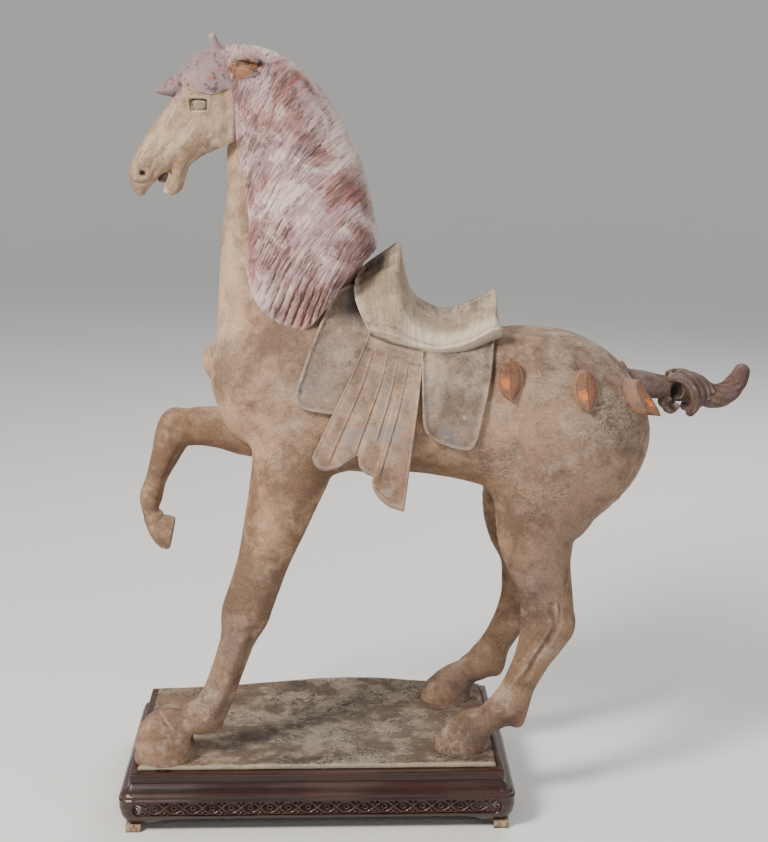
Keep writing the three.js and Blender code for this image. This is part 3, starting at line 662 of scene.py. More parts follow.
def rounded_caps(points, rows, columns, faces):
    """Closes the first and last row of a grid that is closed along its columns with fans."""
    ends = [points[:columns].mean(0), points[-columns:].mean(0)]
    first = np.arange(columns)
    last = first + (rows - 1) * columns
    tip = len(points)
    fans = [
        np.stack([first, np.roll(first, -1), np.full(columns, tip)], 1),
        np.stack([np.roll(last, -1), last, np.full(columns, tip + 1)], 1),
    ]
    return np.concatenate([points, ends]), [faces, *fans]


def closed_ring(ring):
    """Points and faces of a grid of rings, row behind row, with its first and last row closed."""
    rows, columns = ring.shape[:2]
    faces = grid_faces(rows, columns, close_columns=True)
    return rounded_caps(ring.reshape(-1, 3), rows, columns, faces)


def ring_values(values, columns):
    """Values of the first points in each ring of a closed grid; its other points and ends get zero."""
    rest = np.zeros((len(values), columns - values.shape[1]))
    return np.concatenate([np.concatenate([values, rest], 1).ravel(), [0, 0]])


def outward(points, faces):
    """Faces turned so that they point out of the closed shape."""
    volume = 0
    for group in faces:
        a, b = points[group[:, 0]], points[group[:, 1]]
        for k in range(2, group.shape[1]):
            c = points[group[:, k]]
            volume += np.einsum("ij,ij->i", a, np.cross(b, c)).sum()
            b = c
    return faces if volume > 0 else [group[:, ::-1] for group in faces]


def normals_of(points, faces):
    """Normal at each point: the sum of the cross products of its faces."""
    a, b, c = (points[faces[:, k]] for k in range(3))
    across = np.cross(b - a, c - a)
    columns = range(faces.shape[1])
    normal = np.stack([sum(np.bincount(faces[:, j], across[:, k], len(points)) for j in columns)
                       for k in range(3)], 1)
    return normal / (np.linalg.norm(normal, axis=1, keepdims=True) + 1e-12)


def crease_of(points, faces, rounds=2):
    """How far each point lies under the mean of its neighbours along its normal, in units of their
    spacing: positive in grooves, negative on ridges."""
    offset = neighbour_mean(points, faces) - points
    amount = np.einsum("ij,ij->i", offset, normals_of(points, faces))
    amount /= np.median(np.linalg.norm(points[faces[:, 1]] - points[faces[:, 0]], axis=1))
    for _ in range(rounds):
        amount = 0.5 * amount + 0.5 * neighbour_mean(amount[:, None], faces)[:, 0]
    return amount


def make_piece(
    name, points, faces, material, masks=None, uv=None, normals=None, nodes=("horse",)
):
    """A finished piece: points in slab millimetres, groups of faces, and its values per point, to
    which its creases and the clay's tones are added."""
    groups = faces if isinstance(faces, list) else [faces]
    groups = outward(points, groups)
    masks = dict(masks or {})
    masks["crease"] = crease_of(points, groups[0])
    for tone, spots in TONES.items():
        masks[tone] = np.clip(sum(
            amount * np.exp(-(((points[:, 0] - x) / reach) ** 2) - ((points[:, 2] - z) / rise) ** 2)
            for x, z, reach, rise, amount in spots
        ), 0, 1)
    mesh = bpy.data.meshes.new(name)
    corners = np.concatenate([group.ravel() for group in groups])
    sizes = np.concatenate([np.full(len(group), group.shape[1]) for group in groups])
    mesh.vertices.add(len(points))
    mesh.vertices.foreach_set("co", ((points + SLAB_TOP) / 1000).astype(np.float32).ravel())
    mesh.loops.add(len(corners))
    mesh.loops.foreach_set("vertex_index", corners.astype(np.int32))
    mesh.polygons.add(len(sizes))
    mesh.polygons.foreach_set("loop_start", (np.cumsum(sizes) - sizes).astype(np.int32))
    mesh.polygons.foreach_set("loop_total", sizes.astype(np.int32))
    mesh.update(calc_edges=True)
    mesh.validate()
    mesh.shade_smooth()
    if normals is not None:
        mesh.normals_split_custom_set_from_vertices(normals)
    for mask, values in masks.items():
        attribute = mesh.attributes.new(mask, "FLOAT", "POINT")
        attribute.data.foreach_set("value", np.asarray(values, np.float32))
    if uv is not None:
        layer = mesh.uv_layers.new(name="flow")
        layer.data.foreach_set("uv", uv[corners].astype(np.float32).ravel())
    piece = bpy.data.objects.new(name, mesh)
    bpy.context.scene.collection.objects.link(piece)
    piece.data.materials.append(material)
    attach(piece, "root")
    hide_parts(*nodes)
    return piece


def hoof_field(lattice, rows, place):
    """Field of a hoof: at each height its section is an ellipse from its front x to its back x. Its
    place is its size, its lean and the middle of its sole."""
    size, turn, at = place
    reach = 60 * size + FAR
    cells = lattice.cells(np.array(at) - reach, np.array(at) + reach)
    x, y, z = lattice.places(cells)
    x, y, z = turned(x - at[0], y - at[1], z - at[2], 0, turn)
    x, y, z = x / size, y / size, z / size
    rows = np.asarray(rows, float)
    front, back, wide = (np.interp(z, rows[:, 0], rows[:, k]) for k in (1, 2, 3))
    run = x - (front + back) / 2
    flat = np.hypot(run, y) + 1e-3
    ratio = np.hypot(run / ((back - front) / 2), y / wide) + 1e-4
    side = flat - flat / ratio
    level = np.maximum(rows[0, 0] - z, z - rows[-1, 0])
    overlap = np.maximum(6 - np.abs(side - level), 0) / 6
    return cells, np.minimum((np.maximum(side, level) + overlap**2 * 1.5) * size, FAR).astype(np.float32)


def shape_legs(lattice, near_fore=True, raised=True, hind=True):
    """Limbs melted into what is there, with the knobs of their joints and their hooves."""
    if near_fore:
        lattice.join(NEAR_FORE, 16, count=56)
        lattice.join(FORE_SPUR, 9, 2.2)
        lattice.melt(*hoof_field(lattice, FORE_HOOF, (1, 0, (*NEAR_FORE_SOLE, 0))), 7)
    if raised:
        lattice.join(FAR_FORE, 12, count=56)
        lattice.swell(*KNEE, 10)
        place = (RAISED_SOLE["size"], RAISED_SOLE["turn"], RAISED_SOLE["at"])
        lattice.melt(*hoof_field(lattice, HIND_HOOF, place), 3)
    if hind:
        (hock_x, hock_y, hock_z), hock_half = HOCK
        for rows, side, (x, y), ahead in (
            (NEAR_HIND, -1, NEAR_HIND_SOLE, 0), (FAR_HIND, 1, FAR_HIND_SOLE, HOCK_AHEAD),
        ):
            lattice.join(rows, 18, count=56)
            lattice.swell((hock_x - 0.8 * ahead, side * hock_y, hock_z), hock_half, 9)
            spur = [(sx - ahead, side * 66, sz + 0.6 * ahead, deep, wide)
                    for sx, sz, deep, wide in HIND_SPUR]
            lattice.join(spur, 8, 2.2)
            lattice.melt(*hoof_field(lattice, HIND_HOOF, (1, 0, (x, y, 0))), 7)


def carve_near_fore(lattice):
    """Heel hollow, coronet groove, knee folds and sinews of the near fore leg."""
    lattice.hollow((-124, -87, 20), (4, 9, 6.5), 2.5)
    lattice.hollow((-119, -74, 17), (7, 24, 6), 3, (0, 0.3))
    lattice.press(FORE_CORONET, 2.2, 2.2)
    lattice.groove([(-147, 44), (-141, 37), (-138, 30)], -1, 0.9, 2.5)
    for side in (-1, 1):
        lattice.creases(FORE_LINES, side)
    lattice.press([(-97, -66, 163), (-96, -66, 150), (-92, -66, 138)], -1.2, 7)


def carve_hind(lattice):
    """Hock sinews, cannon ridges, coronet grooves and pastern wrinkles of both hind legs."""
    for side, ahead in ((-1, 0), (1, HOCK_AHEAD)):
        lattice.creases([(deep, wide, [(x - ahead * (1 if z < 100 else 0.8), z) for x, z in path])
                         for deep, wide, path in HIND_LINES], side)
    for ahead, middle in ((0, -67), (9, 67)):
        ring = HIND_CORONET + [(x, -y, z) for x, y, z in HIND_CORONET[-2::-1]]
        lattice.press([(x - ahead, middle + y, z) for x, y, z in ring], 2.2, 2.4)
    for k in range(5):
        wrinkle = [(151 + 4 * k, 48 - 2 * k), (157 + 3.5 * k, 39 - 2 * k), (161 + 3 * k, 29 - 2.5 * k)]
        lattice.groove(wrinkle, 1, 1.1, 1.5)
        lattice.groove(wrinkle, -1, 0.2, 1.5)


def carve_raised(lattice):
    """Knee, sinew and coronet of the lifted fore leg."""
    for side in (-1, 1):
        lattice.creases(RAISED_LINES, side)
    for side in (-1, 1):
        lattice.press([(x, 50 + side * y, z) for x, y, z in RAISED_CORONET], 1.5, 1.6)


def body():
    """Barrel, neck and upper legs as one field."""
    lattice = Lattice((-126, -112, FOOT_TOP - 14), (352, 112, 664), STEP["body"])
    lattice.melt(*lattice.loft(BARREL, BARREL_SQUARE), 1)
    lattice.join(on_middle(NECK), 22)
    shape_legs(lattice)
    return lattice


def surface_of(lattice):
    """Skin of a field with the slow unevenness of hand-pressed clay, and its normals."""
    points, quads = lattice.skin()
    normals = lattice.slope(points)
    points += 0.3 * normals * waves(*points.T, 55, 3)[:, None]
    return points, quads, normals


def split_piece(points, quads, keep, group):
    """Part of a net as its own closed shape: the faces kept, and a fan over each edge where it is cut.
    The group of a place says which of the cuts it belongs to."""
    kept = quads[keep]
    edges = np.stack([kept, np.roll(kept, -1, 1)], 2).reshape(-1, 2)
    key = edges.min(1) * len(points) + edges.max(1)
    _, first, count = np.unique(key, return_index=True, return_counts=True)
    rim = edges[first[count == 1]]
    which = group(points[rim].mean(1))
    cuts = np.unique(which)
    tips = np.stack([points[rim[which == cut]].mean((0, 1)) for cut in cuts])
    tip = len(points) + np.searchsorted(cuts, which)
    fan = np.stack([rim[:, 1], rim[:, 0], tip], 1)
    points = np.concatenate([points, tips])
    used, number = np.unique(np.concatenate([kept.ravel(), fan.ravel()]), return_inverse=True)
    return used, points[used], [number[: kept.size].reshape(-1, 4), number[kept.size:].reshape(-1, 3)]


def cut_group(at):
    """Which cut a place lies on: the one across the barrel, that of a foot, or the lifted leg's."""
    x, y, z = at.T
    foot = z < FOOT_TOP + 8
    return np.where(foot, 1 + (y > 0), np.where(x < 0, 3, 0))


def build_body(clay):
    """Forehand and hindquarters, and the feet on finer lattices that overlap them by a few millimetres."""
    lattice = body()
    points, quads, normals = surface_of(lattice)
    x, y, z = points[quads].mean(1).T
    upper = (z > FOOT_TOP) & ((x > RAISED_FRONT) | (z > 345))
    parts = [("forehand", points, quads, normals, upper & (x < BODY_CUT)),
             ("hindquarters", points, quads, normals, upper & (x >= BODY_CUT))]
    feet = (
        ("near_fore_foot", (-206, -112, -9), (-30, -30, FOOT_TOP + 14), (True, False, False),
         carve_near_fore),
        ("hind_feet", (106, -104, -9), (282, 104, FOOT_TOP + 14), (False, False, True), carve_hind),
        ("lifted_foot", (-208, 16, 168), (RAISED_FRONT + 14, 80, 346), (False, True, False),
         carve_raised),
    )
    for name, low, high, which, carve in feet:
        fine = Lattice(low, high, STEP["foot"])
        shape_legs(fine, *which)
        carve(fine)
        net = surface_of(fine)
        x, y, z = net[0][net[1]].mean(1).T
        under = z < FOOT_TOP + OVERLAP
        if name == "lifted_foot":
            parts.append((name, *net, x < RAISED_FRONT + OVERLAP))
        elif name == "near_fore_foot":
            parts.append((name, *net, under))
        else:
            parts.append(("near_hind_foot", *net, under & (y < 0)))
            parts.append(("far_hind_foot", *net, under & (y > 0)))
    for name, points, quads, normals, keep in parts:
        quads = outward(points, [quads])[0]
        used, part, faces = split_piece(points, quads, keep, cut_group)
        of_tips = np.tile([0, 0, 1.0], (8, 1))
        normals = np.concatenate([normals, of_tips])[used]
        make_piece(name, part, faces, clay, normals=normals)
    return lattice


def cap_edge(x, z):
    """Height of a point over the wavy lower edge of the hair cap."""
    line = spline(CAP_EDGE, np.linspace(0, 1, 60))
    return z - np.interp(x, line[:, 0], line[:, 1])


def shape_face(lattice):
    """Cheeks, brows, eyes, nostrils, lips and the crease lines of the face, on both sides."""
    for side in (-1, 1):
        for ((x, y, z), half), soft, turn in ((CHEEK, 6, (0, 0.15)), (BROW, 5, (0, 0))):
            lattice.swell((x, side * y, z), half, soft, turn)
        lean = (0, EYE["lean"])
        x, z = EYE["at"]
        eye = lattice.on_skin([EYE["at"]], side)[0, 1]
        lattice.groove(EYE_RIM, side, -1.3, 1.5)
        lattice.hollow((x, eye, z + 0.2), EYE["hollow"], 1.2, lean, 6)
        lattice.swell((x + 0.8, eye - side * 4.2, z - 0.2), EYE["ball"], 0.5, lean, 4)
        lattice.creases(FACE_LINES, side)
        x, z = NOSTRIL["at"]
        nostril = lattice.on_skin([NOSTRIL["at"]], side)[0, 1]
        lattice.groove(NOSTRIL_RIM, side, -3.1, 1.9)
        lattice.hollow((x + 0.8, nostril, z + 0.1), NOSTRIL["half"], 1.2, (0, NOSTRIL["lean"]))
        lattice.creases(LIP_LINES, side)


def head():
    """Face, jaw, forelock, ears and hair cap as one field on a finer lattice."""
    lattice = Lattice((-190, -44, 546), (-28, 44, 722), STEP["head"])
    lattice.join(on_middle(HEAD), 1, 2.25, 50)
    lattice.swell(*SKULL, 10)
    lattice.join(on_middle(BACK_OF_HEAD), 12)
    lattice.join(on_middle(JAW), 5, 2.3)
    lattice.hollow(*MOUTH_CUT, 2, (0, MOUTH_LEAN))
    lattice.hollow(*MOUTH_HOLLOW, 2, (0, MOUTH_LEAN))
    lattice.swell(*TONGUE, 1, (0, MOUTH_LEAN))
    for side in (-1, 1):
        lattice.creases(JAW_LINES, side)
    shape_face(lattice)
    x, y, z = lattice.places(lattice.everywhere())
    over = cap_edge(x, z) + np.zeros_like(y)
    cap = np.maximum(lattice.field - CAP_THICK, -over.astype(np.float32))
    lattice.melt(lattice.everywhere(), cap, 1.5)
    for rows, soft in ((FORELOCK_BACK, 3), (FORELOCK_FRONT, 1)):
        lattice.join(rows, soft, 2.0, 24)
    for side in (-1, 1):
        lattice.creases(FORELOCK_LINES, side)
    lattice.press([(-134, -7, 672), (-135, 0, 673), (-134, 7, 672)], 2.2, 1.2)
    for side in (-1, 1):
        rise = 1 if side < 0 else EAR_FAR_RISE
        ear = [(x, y, 680 + rise * (z - 680), deep, wide) for x, y, z, deep, wide in EAR]
        for rows, soft, count, blunt in ((ear, 7, 24, 1.0), (EAR_CURL, 3, 20, 0.8), (EAR_LEAF, 2, 20, 0.4)):
            lattice.join(on_side(rows, side), soft, 2.0, count, blunt)
        lattice.creases(EAR_LINES, side)
    return lattice


def build_head(clay):
    """The head's skin, with masks for the painted shade in its pits, hair paint, eyeballs and forelock."""
    lattice = head()
    points, quads = lattice.skin()
    x, y, z = points.T
    spot = lambda at, half, power=2: np.exp(-sum(
        np.abs((part - c) / h) ** power for part, c, h in zip((x, y, z), at, half)))
    # Painted shade: the mouth, the nostrils, the inner corners of the eyes and the hollow under the forelock
    pits = spot((-151, 0, 578), (6.5, 9.5, 7), 6) + 0.8 * spot((-168.2, 0, 581.6), (2.0, 30, 1.7))
    pits = pits + 0.8 * spot((-117.2, 0, 647.5), (1.5, 40, 5)) + 0.5 * spot((-128.5, 0, 664), (2, 40, 7))
    forelock = smooth(-120, -125, x) * smooth(651, 654, z)
    paint = np.maximum(smooth(-1, 1.5, cap_edge(x, z)) * smooth(-150, -140, x), forelock)
    masks = {
        "dark": np.clip(pits, 0, 1),
        "paint": np.maximum(paint, smooth(-79, -77, x) * smooth(600, 610, z) * 0.8),
        "eye": spot((-108.6, 0, 646.8), (6.2, 60, 4.6), 6) * smooth(15, 18, np.abs(y)),
        "lock": forelock * smooth(-128, -134, x),
    }
    make_piece("head", points, quads, clay, masks)


def mane_point(u, v, side, edge=0.0):
    """Lock line from the crest (v = 0) to the hem (v = 1): a bent line on the side of the neck that
    leaves the crest slanting and ends hanging down, rounded over at the crest and swelling between."""
    hem_x, hem_y, hem_z, crest_x, crest_z = np.moveaxis(spline(MANE, u), -1, 0)
    bend_x = crest_x + MANE_BEND[0] * (hem_x - crest_x)
    bend_z = crest_z + MANE_BEND[1] * (hem_z - crest_z)
    x = (1 - v) ** 2 * crest_x + 2 * v * (1 - v) * bend_x + v * v * hem_x
    z = (1 - v) ** 2 * crest_z + 2 * v * (1 - v) * bend_z + v * v * hem_z
    rounding = np.sqrt(1 - (1 - np.minimum(1, v / 0.5)) ** 2)
    out = hem_y * rounding + MANE_GRID["swell"] * np.sin(np.pi * v) * rounding
    return np.stack([x, side * (out - edge), z], -1)


def lock_relief(u, v):
    """Height of the combed strands over the mane, in millimetres."""
    line = STRANDS[0] * u + 1.1 * waves(u * 7, v * 2.4, 0 * u, 1.5, 7)
    broad = np.abs(np.sin(np.pi * line)) ** 0.7
    fine = np.sin(2 * np.pi * (HAIRS[0] * u + 1.7 * waves(u * 9, v * 3.6, 0 * u, 1.4, 9)))
    tips = smooth(0.45, 0.62, u) * smooth(0.92, 0.8, u) * smooth(0.45, 0.85, v)
    gouge = bell(GOUGES[0] * u % 1 - 0.5, 0.2)
    calm = smooth(0.02, 0.2, v) * (0.45 + 0.55 * smooth(-0.6, 0.6, waves(u * 6, v * 3, 0 * u, 1.3, 11)))
    return calm * (STRANDS[1] * broad + HAIRS[1] * fine) - GOUGES[1] * tips * gouge


def build_mane(paint):
    """Grid over both sides of the neck, from the hem on one side over the crest to the other, whose
    hems turn in to the neck; the strands raise it along its normals."""
    along, down = MANE_GRID["along"], MANE_GRID["down"]
    u = np.linspace(0, 1, along)[:, None]
    v = np.concatenate([np.linspace(1, 0, down)[:-1], np.linspace(0, 1, down)])[None, :]
    side = np.where(np.arange(2 * down - 1) < down - 1, -1.0, 1.0)[None, :]
    u, v, side = np.broadcast_arrays(u, v, side)
    surface = mane_point(u, v, side)
    normal = np.cross(np.gradient(surface, axis=0), np.gradient(surface, axis=1))
    normal /= np.linalg.norm(normal, axis=-1, keepdims=True) + 1e-9
    normal *= np.sign((normal * (surface - [-20, 0, 560])).sum(-1, keepdims=True).mean())
    hem = np.sqrt(np.clip((1 - v) / 0.035, 0, 1))
    rows = surface + normal * (lock_relief(u, v) * hem)[..., None]
    rows = rows - np.array([0, 1, 0]) * (side * 2.2 * (1 - hem))[..., None]
    inner = [mane_point(u[:, k], v[:, k], side[:, k], MANE_GRID["edge"] * depth) for k, depth in
             ((-1, 1), (-1, 3), (0, 3), (0, 1))]
    ring = np.concatenate([rows, np.stack(inner, 1)], 1)
    flow_u = np.concatenate([u, np.repeat(u[:, :1], 4, 1)], 1).ravel()
    flow_v = np.concatenate([v, np.ones((along, 4))], 1).ravel()
    uv = np.stack([flow_u, flow_v], 1)
    points, faces = closed_ring(ring)
    uv = np.concatenate([uv, [[0, 1], [1, 1]]])
    make_piece("mane", points, faces, paint, uv=uv)


def build_saddle(clay):
    """Arches from edge to edge over the ridge, one behind the other from pommel to cantle, closed
    through the body below. Relief along the normals: a beaded edge, the soft line of the seat flap,
    a border down the pommel's front and grooves that fan from its peak."""
    t = np.linspace(0, 1, 160)[:, None]
    angle = np.linspace(-math.pi / 2, math.pi / 2, 150)[None, :]
    ridge_x, ridge_z, edge_x, edge_y, edge_z = (part[:, None] for part in spline(SADDLE, t[:, 0]).T)
    lobe = SADDLE_LOBE * (1 - smooth(0, 4, t * (len(SADDLE) - 1)))
    rise = np.cos(angle)
    x = edge_x + (ridge_x - edge_x) * rise - lobe * np.abs(np.sin(2 * angle))
    y = edge_y * np.sin(angle) + 0 * x
    z = edge_z + (ridge_z - edge_z) * rise
    arch = np.stack([x, y, z], -1)
    normal = np.cross(np.gradient(arch, axis=0), np.gradient(arch, axis=1))
    normal /= np.linalg.norm(normal, axis=-1, keepdims=True) + 1e-9
    normal *= np.sign((normal * (arch - [110, 0, 400])).sum())
    down = np.abs(angle)
    bead = 1.8 * bell(down - 1.5, 0.045) - 0.9 * bell(down - 1.41, 0.05)
    seat_line = 0.9 * bell(down - 1.14, 0.07) * smooth(0.28, 0.4, t)
    seat_line = seat_line - 0.7 * bell(down - 1.02, 0.08) * smooth(0.2, 0.4, t)
    border = 1.5 * bell(t - 0.012, 0.012) - 1.0 * bell(t - 0.045, 0.02) * smooth(0.2, 0.5, down)
    fan = np.sin(2 * math.pi * (4.4 * np.minimum(down, 1.3) + 1.5 * t + 0.12 * waves(x, y, z, 40, 21)))
    fan = 0.55 * fan * smooth(0.36, 0.22, t) * smooth(0.15, 0.4, down) * smooth(1.35, 1.0, down)
    slant = 1.4 * bell(down - 0.35 - 1.1 * t, 0.1) * smooth(0.42, 0.3, t) * smooth(0.02, 0.1, t)
    uneven = 0.35 * waves(x, y, z, 26, 22)
    arch = arch + normal * (bead + seat_line + border + fan - slant + uneven)[..., None]
    inset = SADDLE_FLOOR
    floor = [np.stack([edge_x[:, 0], sign * (edge_y[:, 0] - inset), edge_z[:, 0] - inset], -1)
             for sign in (1, -1)]
    ring = np.concatenate([arch, np.stack(floor, 1)], 1)
    points, faces = closed_ring(ring)
    pale = smooth(0.85, 1.25, down) * smooth(0.25, 0.4, t) + bell(t - 0.02, 0.03)
    # The seat's part of the dark mask is painted shade; the pommel's part is its dark paint streaks
    seat = bell(down - 0.25, 0.35) * bell(t - 0.62, 0.16)
    shade = 0.8 * smooth(0.34, 0.2, t) * bell(down - 0.3, 0.35) + seat
    spread = lambda values: ring_values(values, ring.shape[1])
    masks = {"chalk": spread(np.clip(pale, 0, 1)), "dark": spread(np.clip(shade, 0, 1))}
    flow = np.stack([spread(t + 0 * angle), spread(angle + 0 * t)], 1)
    make_piece("saddle", points, faces, clay, masks, uv=flow)


def outline_distance(outline, x, z):
    """Distance to a closed outline in the x and z plane, negative inside, with the even-odd rule."""
    corners = np.array(outline, float)
    nearest = np.full(np.broadcast(x, z).shape, np.inf)
    inside = np.zeros(nearest.shape, bool)
    for a, b in zip(corners, np.roll(corners, -1, 0)):
        ahead = b - a
        run = np.clip(((x - a[0]) * ahead[0] + (z - a[1]) * ahead[1]) / (ahead @ ahead), 0, 1)
        nearest = np.minimum(nearest, (x - a[0] - run * ahead[0]) ** 2 + (z - a[1] - run * ahead[1]) ** 2)
        spans = (a[1] > z) != (b[1] > z)
        cross = a[0] + (z - a[1]) * ahead[0] / (ahead[1] if ahead[1] else 1e-9)
        inside ^= spans & (x < cross)
    return np.where(inside, -1, 1) * np.sqrt(nearest)


def build_cloth(name, outline, clay, under):
    """Cloth laid over the barrel: what lies inside its outline and less than its thickness above the
    body's field, its edge a raised border, hollow towards the body."""
    corners = np.array(outline, float)
    low, high = corners.min(0) - 6, corners.max(0) + 6
    lattice = Lattice((low[0], -96, low[1]), (high[0], 96, high[1]), STEP["cloth"])
    x, y, z = lattice.places(lattice.everywhere())
    grid = np.stack(np.broadcast_arrays(x, y, z), -1).reshape(-1, 3)
    skin = under.sample(grid).reshape(lattice.shape)
    curve = spline(np.concatenate([corners, corners[:1]]), np.linspace(0, 1, 10 * len(corners)))[:-1]
    side = outline_distance(curve, x[:, 0, 0][:, None], z[0, 0, :][None, :]).astype(np.float32)[:, None, :]
    side = np.broadcast_to(side, lattice.shape)
    wear = 0.35 * waves(x, y, z, 24, 31)
    outer = skin - CLOTH_PROUD - wear - 2.0 * bell(side + 1.8, 1.5) + 0.7 * bell(side + 5.5, 2.2)
    overlap = np.maximum(2.5 - np.abs(outer - side), 0) / 2.5
    lattice.field = np.maximum(np.maximum(outer, side) + overlap**2 * 0.6, -(skin + 5)).astype(np.float32)
    for k in range(3):
        edge = [slice(None)] * 3
        for end in (0, -1):
            edge[k] = end
            lattice.field[tuple(edge)] = FAR
    points, quads = lattice.skin()
    border = outline_distance(curve, points[:, 0], points[:, 2])
    masks = {"chalk": bell(border + 1.5, 1.3)}
    make_piece(name, points, quads, clay, masks)


def build_flap(side, clay):
    """Straight falls from the saddle's edge to the hem, rounding the barrel first and then hanging free.
    Thin pleat lines run down it at given parts of its width, and a band crosses its top."""
    u = np.linspace(0, 1, 150)[:, None]
    v = np.linspace(0, 1, 64)[None, :]
    hem_x, hem_z, top_x, top_z, fold = (part[:, None] for part in spline(FLAP, u[:, 0]).T)
    turn = np.sin(math.pi / 2 * np.minimum(1, v / FLAP_FORM["turn"]))
    out = FLAP_FORM["top"] + (FLAP_FORM["low"] - FLAP_FORM["top"]) * turn
    x = top_x + (hem_x - top_x) * v
    z = top_z + (hem_z - top_z) * v
    bend = 0.012 * np.sin(5 * v)
    relief = 0.55 * fold * v + 1.1 * bell(u - 0.99, 0.014) + 0.9 * bell(u - 0.012, 0.014)
    for line, end in FLAP_PLEATS:
        strength = smooth(0.06, 0.14, v) * smooth(end + 0.06, end - 0.06, v)
        place = u - line - bend
        relief = relief + 0.6 * strength * (bell(place, 0.013) - bell(place - 0.018, 0.008))
    relief = relief + 1.2 * smooth(0.09, 0.055, v) + 0.25 * waves(x, out + 0 * x, z, 22, 41)
    hem = np.sqrt(np.clip((1 - v) / 0.014, 0, 1)) * np.sqrt(np.clip(np.minimum(u, 1 - u) / 0.012, 0, 1))
    thick = FLAP_FORM["thick"]
    outer = np.stack([x, side * (out + relief - (1 - hem) * thick * 0.35), z + 0 * x], -1)
    inner = np.stack([x, side * (out - thick + 0 * x), z + 0 * x], -1)[:, ::-8]
    points, faces = closed_ring(np.concatenate([outer, inner], 1))
    flow = np.stack(np.broadcast_arrays(u, np.concatenate([v, v[:, ::-8]], 1)), -1).reshape(-1, 2)
    flow = np.concatenate([flow, [[0, 0], [1, 0]]])
    name = "flap_near" if side < 0 else "flap_far"
    make_piece(name, points, faces, clay, uv=flow)


def build_tail(clay):
    """Tail root, its knot of crossing bands with a hanging loop, and the twisted end, as one field."""
    lattice = Lattice((296, -40, 318), (462, 40, 414), STEP["small"])
    lattice.join(on_middle(TAIL_ROOT), 1)
    lattice.join(on_middle(TAIL_END), 2, 2.0, 40, 1.0)
    along = np.linspace(TAIL_TWIST["from"], TAIL_TWIST["to"], 30)
    middle = spline(TAIL_END, along)
    ahead = np.gradient(middle[:, :2], axis=0)
    ahead /= np.linalg.norm(ahead, axis=1, keepdims=True)
    for strand in range(TAIL_TWIST["strands"]):
        angle = 2 * math.pi * (strand / TAIL_TWIST["strands"] + TAIL_TWIST["turns"] * along)
        rise, wide = middle[:, 2] * np.cos(angle), middle[:, 3] * np.sin(angle)
        path = np.stack([middle[:, 0] - ahead[:, 1] * rise, wide, middle[:, 1] + ahead[:, 0] * rise], 1)
        lattice.press(path, TAIL_TWIST["deep"], TAIL_TWIST["wide"])
    for side in (-1, 1):
        for rows in TAIL_BANDS:
            lattice.join(on_side(rows, side), 1, 2.0, 30, 0.8)
        (hx, hy, hz), half = TAIL_HOLLOW
        lattice.hollow((hx, side * hy, hz), half, 2)
        lattice.creases([TAIL_LOOP_LINE], side)
    points, quads = lattice.skin()
    x, y, z = points.T
    (hx, hy, hz), (wide, _, high) = TAIL_HOLLOW
    depth = smooth(hy - 1, hy - 5, np.abs(y))
    # Painted shade in the hollow of the knot, darker deeper in
    masks = {"dark": np.exp(-(((x - hx) / wide) ** 4) - ((z - hz) / high) ** 4) * depth}
    make_piece("tail", points, quads, clay, masks)


def build_plaque(number, side, clay):
    """Pointed leaf that stands off the rump, most at its lower tip: across it a bow with a raised
    middle rib and a thin rim, its depth growing downwards, closed by straight sides into the rump."""
    x, z, out, turn, tip, size = PLAQUES[number]
    wide, high = size * PLAQUE_HALF[0], size * PLAQUE_HALF[1]
    down = np.linspace(0.0, 1, 48)[:, None]
    across = np.linspace(-1, 1, 35)[None, :]
    half = wide * np.sin(math.pi * down**0.94) ** 0.5 * (1 - 0.08 * down)
    stand = PLAQUE_RISE + (tip - PLAQUE_RISE) * smooth(-0.1, 1.1, down)
    bow = np.sqrt(np.clip(1 - 0.86 * across**2, 0, 1))
    rib = 0.9 * bell(across + 0.12, 0.09)
    rim = 0.7 * bell(np.abs(across) - 0.93, 0.06) - 0.5 * bell(np.abs(across) - 0.78, 0.1)
    swell = stand * bow + (rib + rim) * np.sin(math.pi * down) ** 0.5
    front = np.stack([half * across, -swell, high * (1 - 2 * down) + 0 * across], -1)
    sunk = PLAQUE_SUNK + 0 * half * across
    back = np.stack([half * across, sunk, high * (1 - 2 * down) + 0 * across], -1)[:, ::-6]
    ring = np.concatenate([front, back], 1)
    lx, ly, lz = ring[..., 0], -side * ring[..., 1], ring[..., 2]
    c, s = math.cos(-side * turn), math.sin(-side * turn)
    ring = np.stack([c * lx - s * ly + x, s * lx + c * ly + side * out, lz + z], -1)
    points, faces = closed_ring(ring)
    orange = ring_values(bell(across + 0.4, 0.42) * bell(down - 0.58, 0.2), ring.shape[1])
    name = f"plaque_{'near' if side < 0 else 'far'}_{number + 1}"
    make_piece(name, points, faces, clay, {"orange": orange})


def build_chest_leaf(clay):
    """Round-shouldered leaf on the breast, seen from its side in the photograph."""
    lattice = Lattice((-120, -24, 362), (-78, 24, 416), STEP["small"])
    lattice.swell((-99, 0, 390), (11, 13, 19), 2, (0, -0.1))
    lattice.join([(-103, 0, 402, 7, 9), (-108, 0, 390, 6, 11), (-103, 0, 374, 4, 6)], 3)
    for side in (-1, 1):
        lattice.groove([(-104, 405), (-101, 390), (-101, 374)], side, 1.4, 1.4)
    points, quads = lattice.skin()
    make_piece("chest_leaf", points, quads, clay, {"chalk": np.full(len(points), 0.4)})


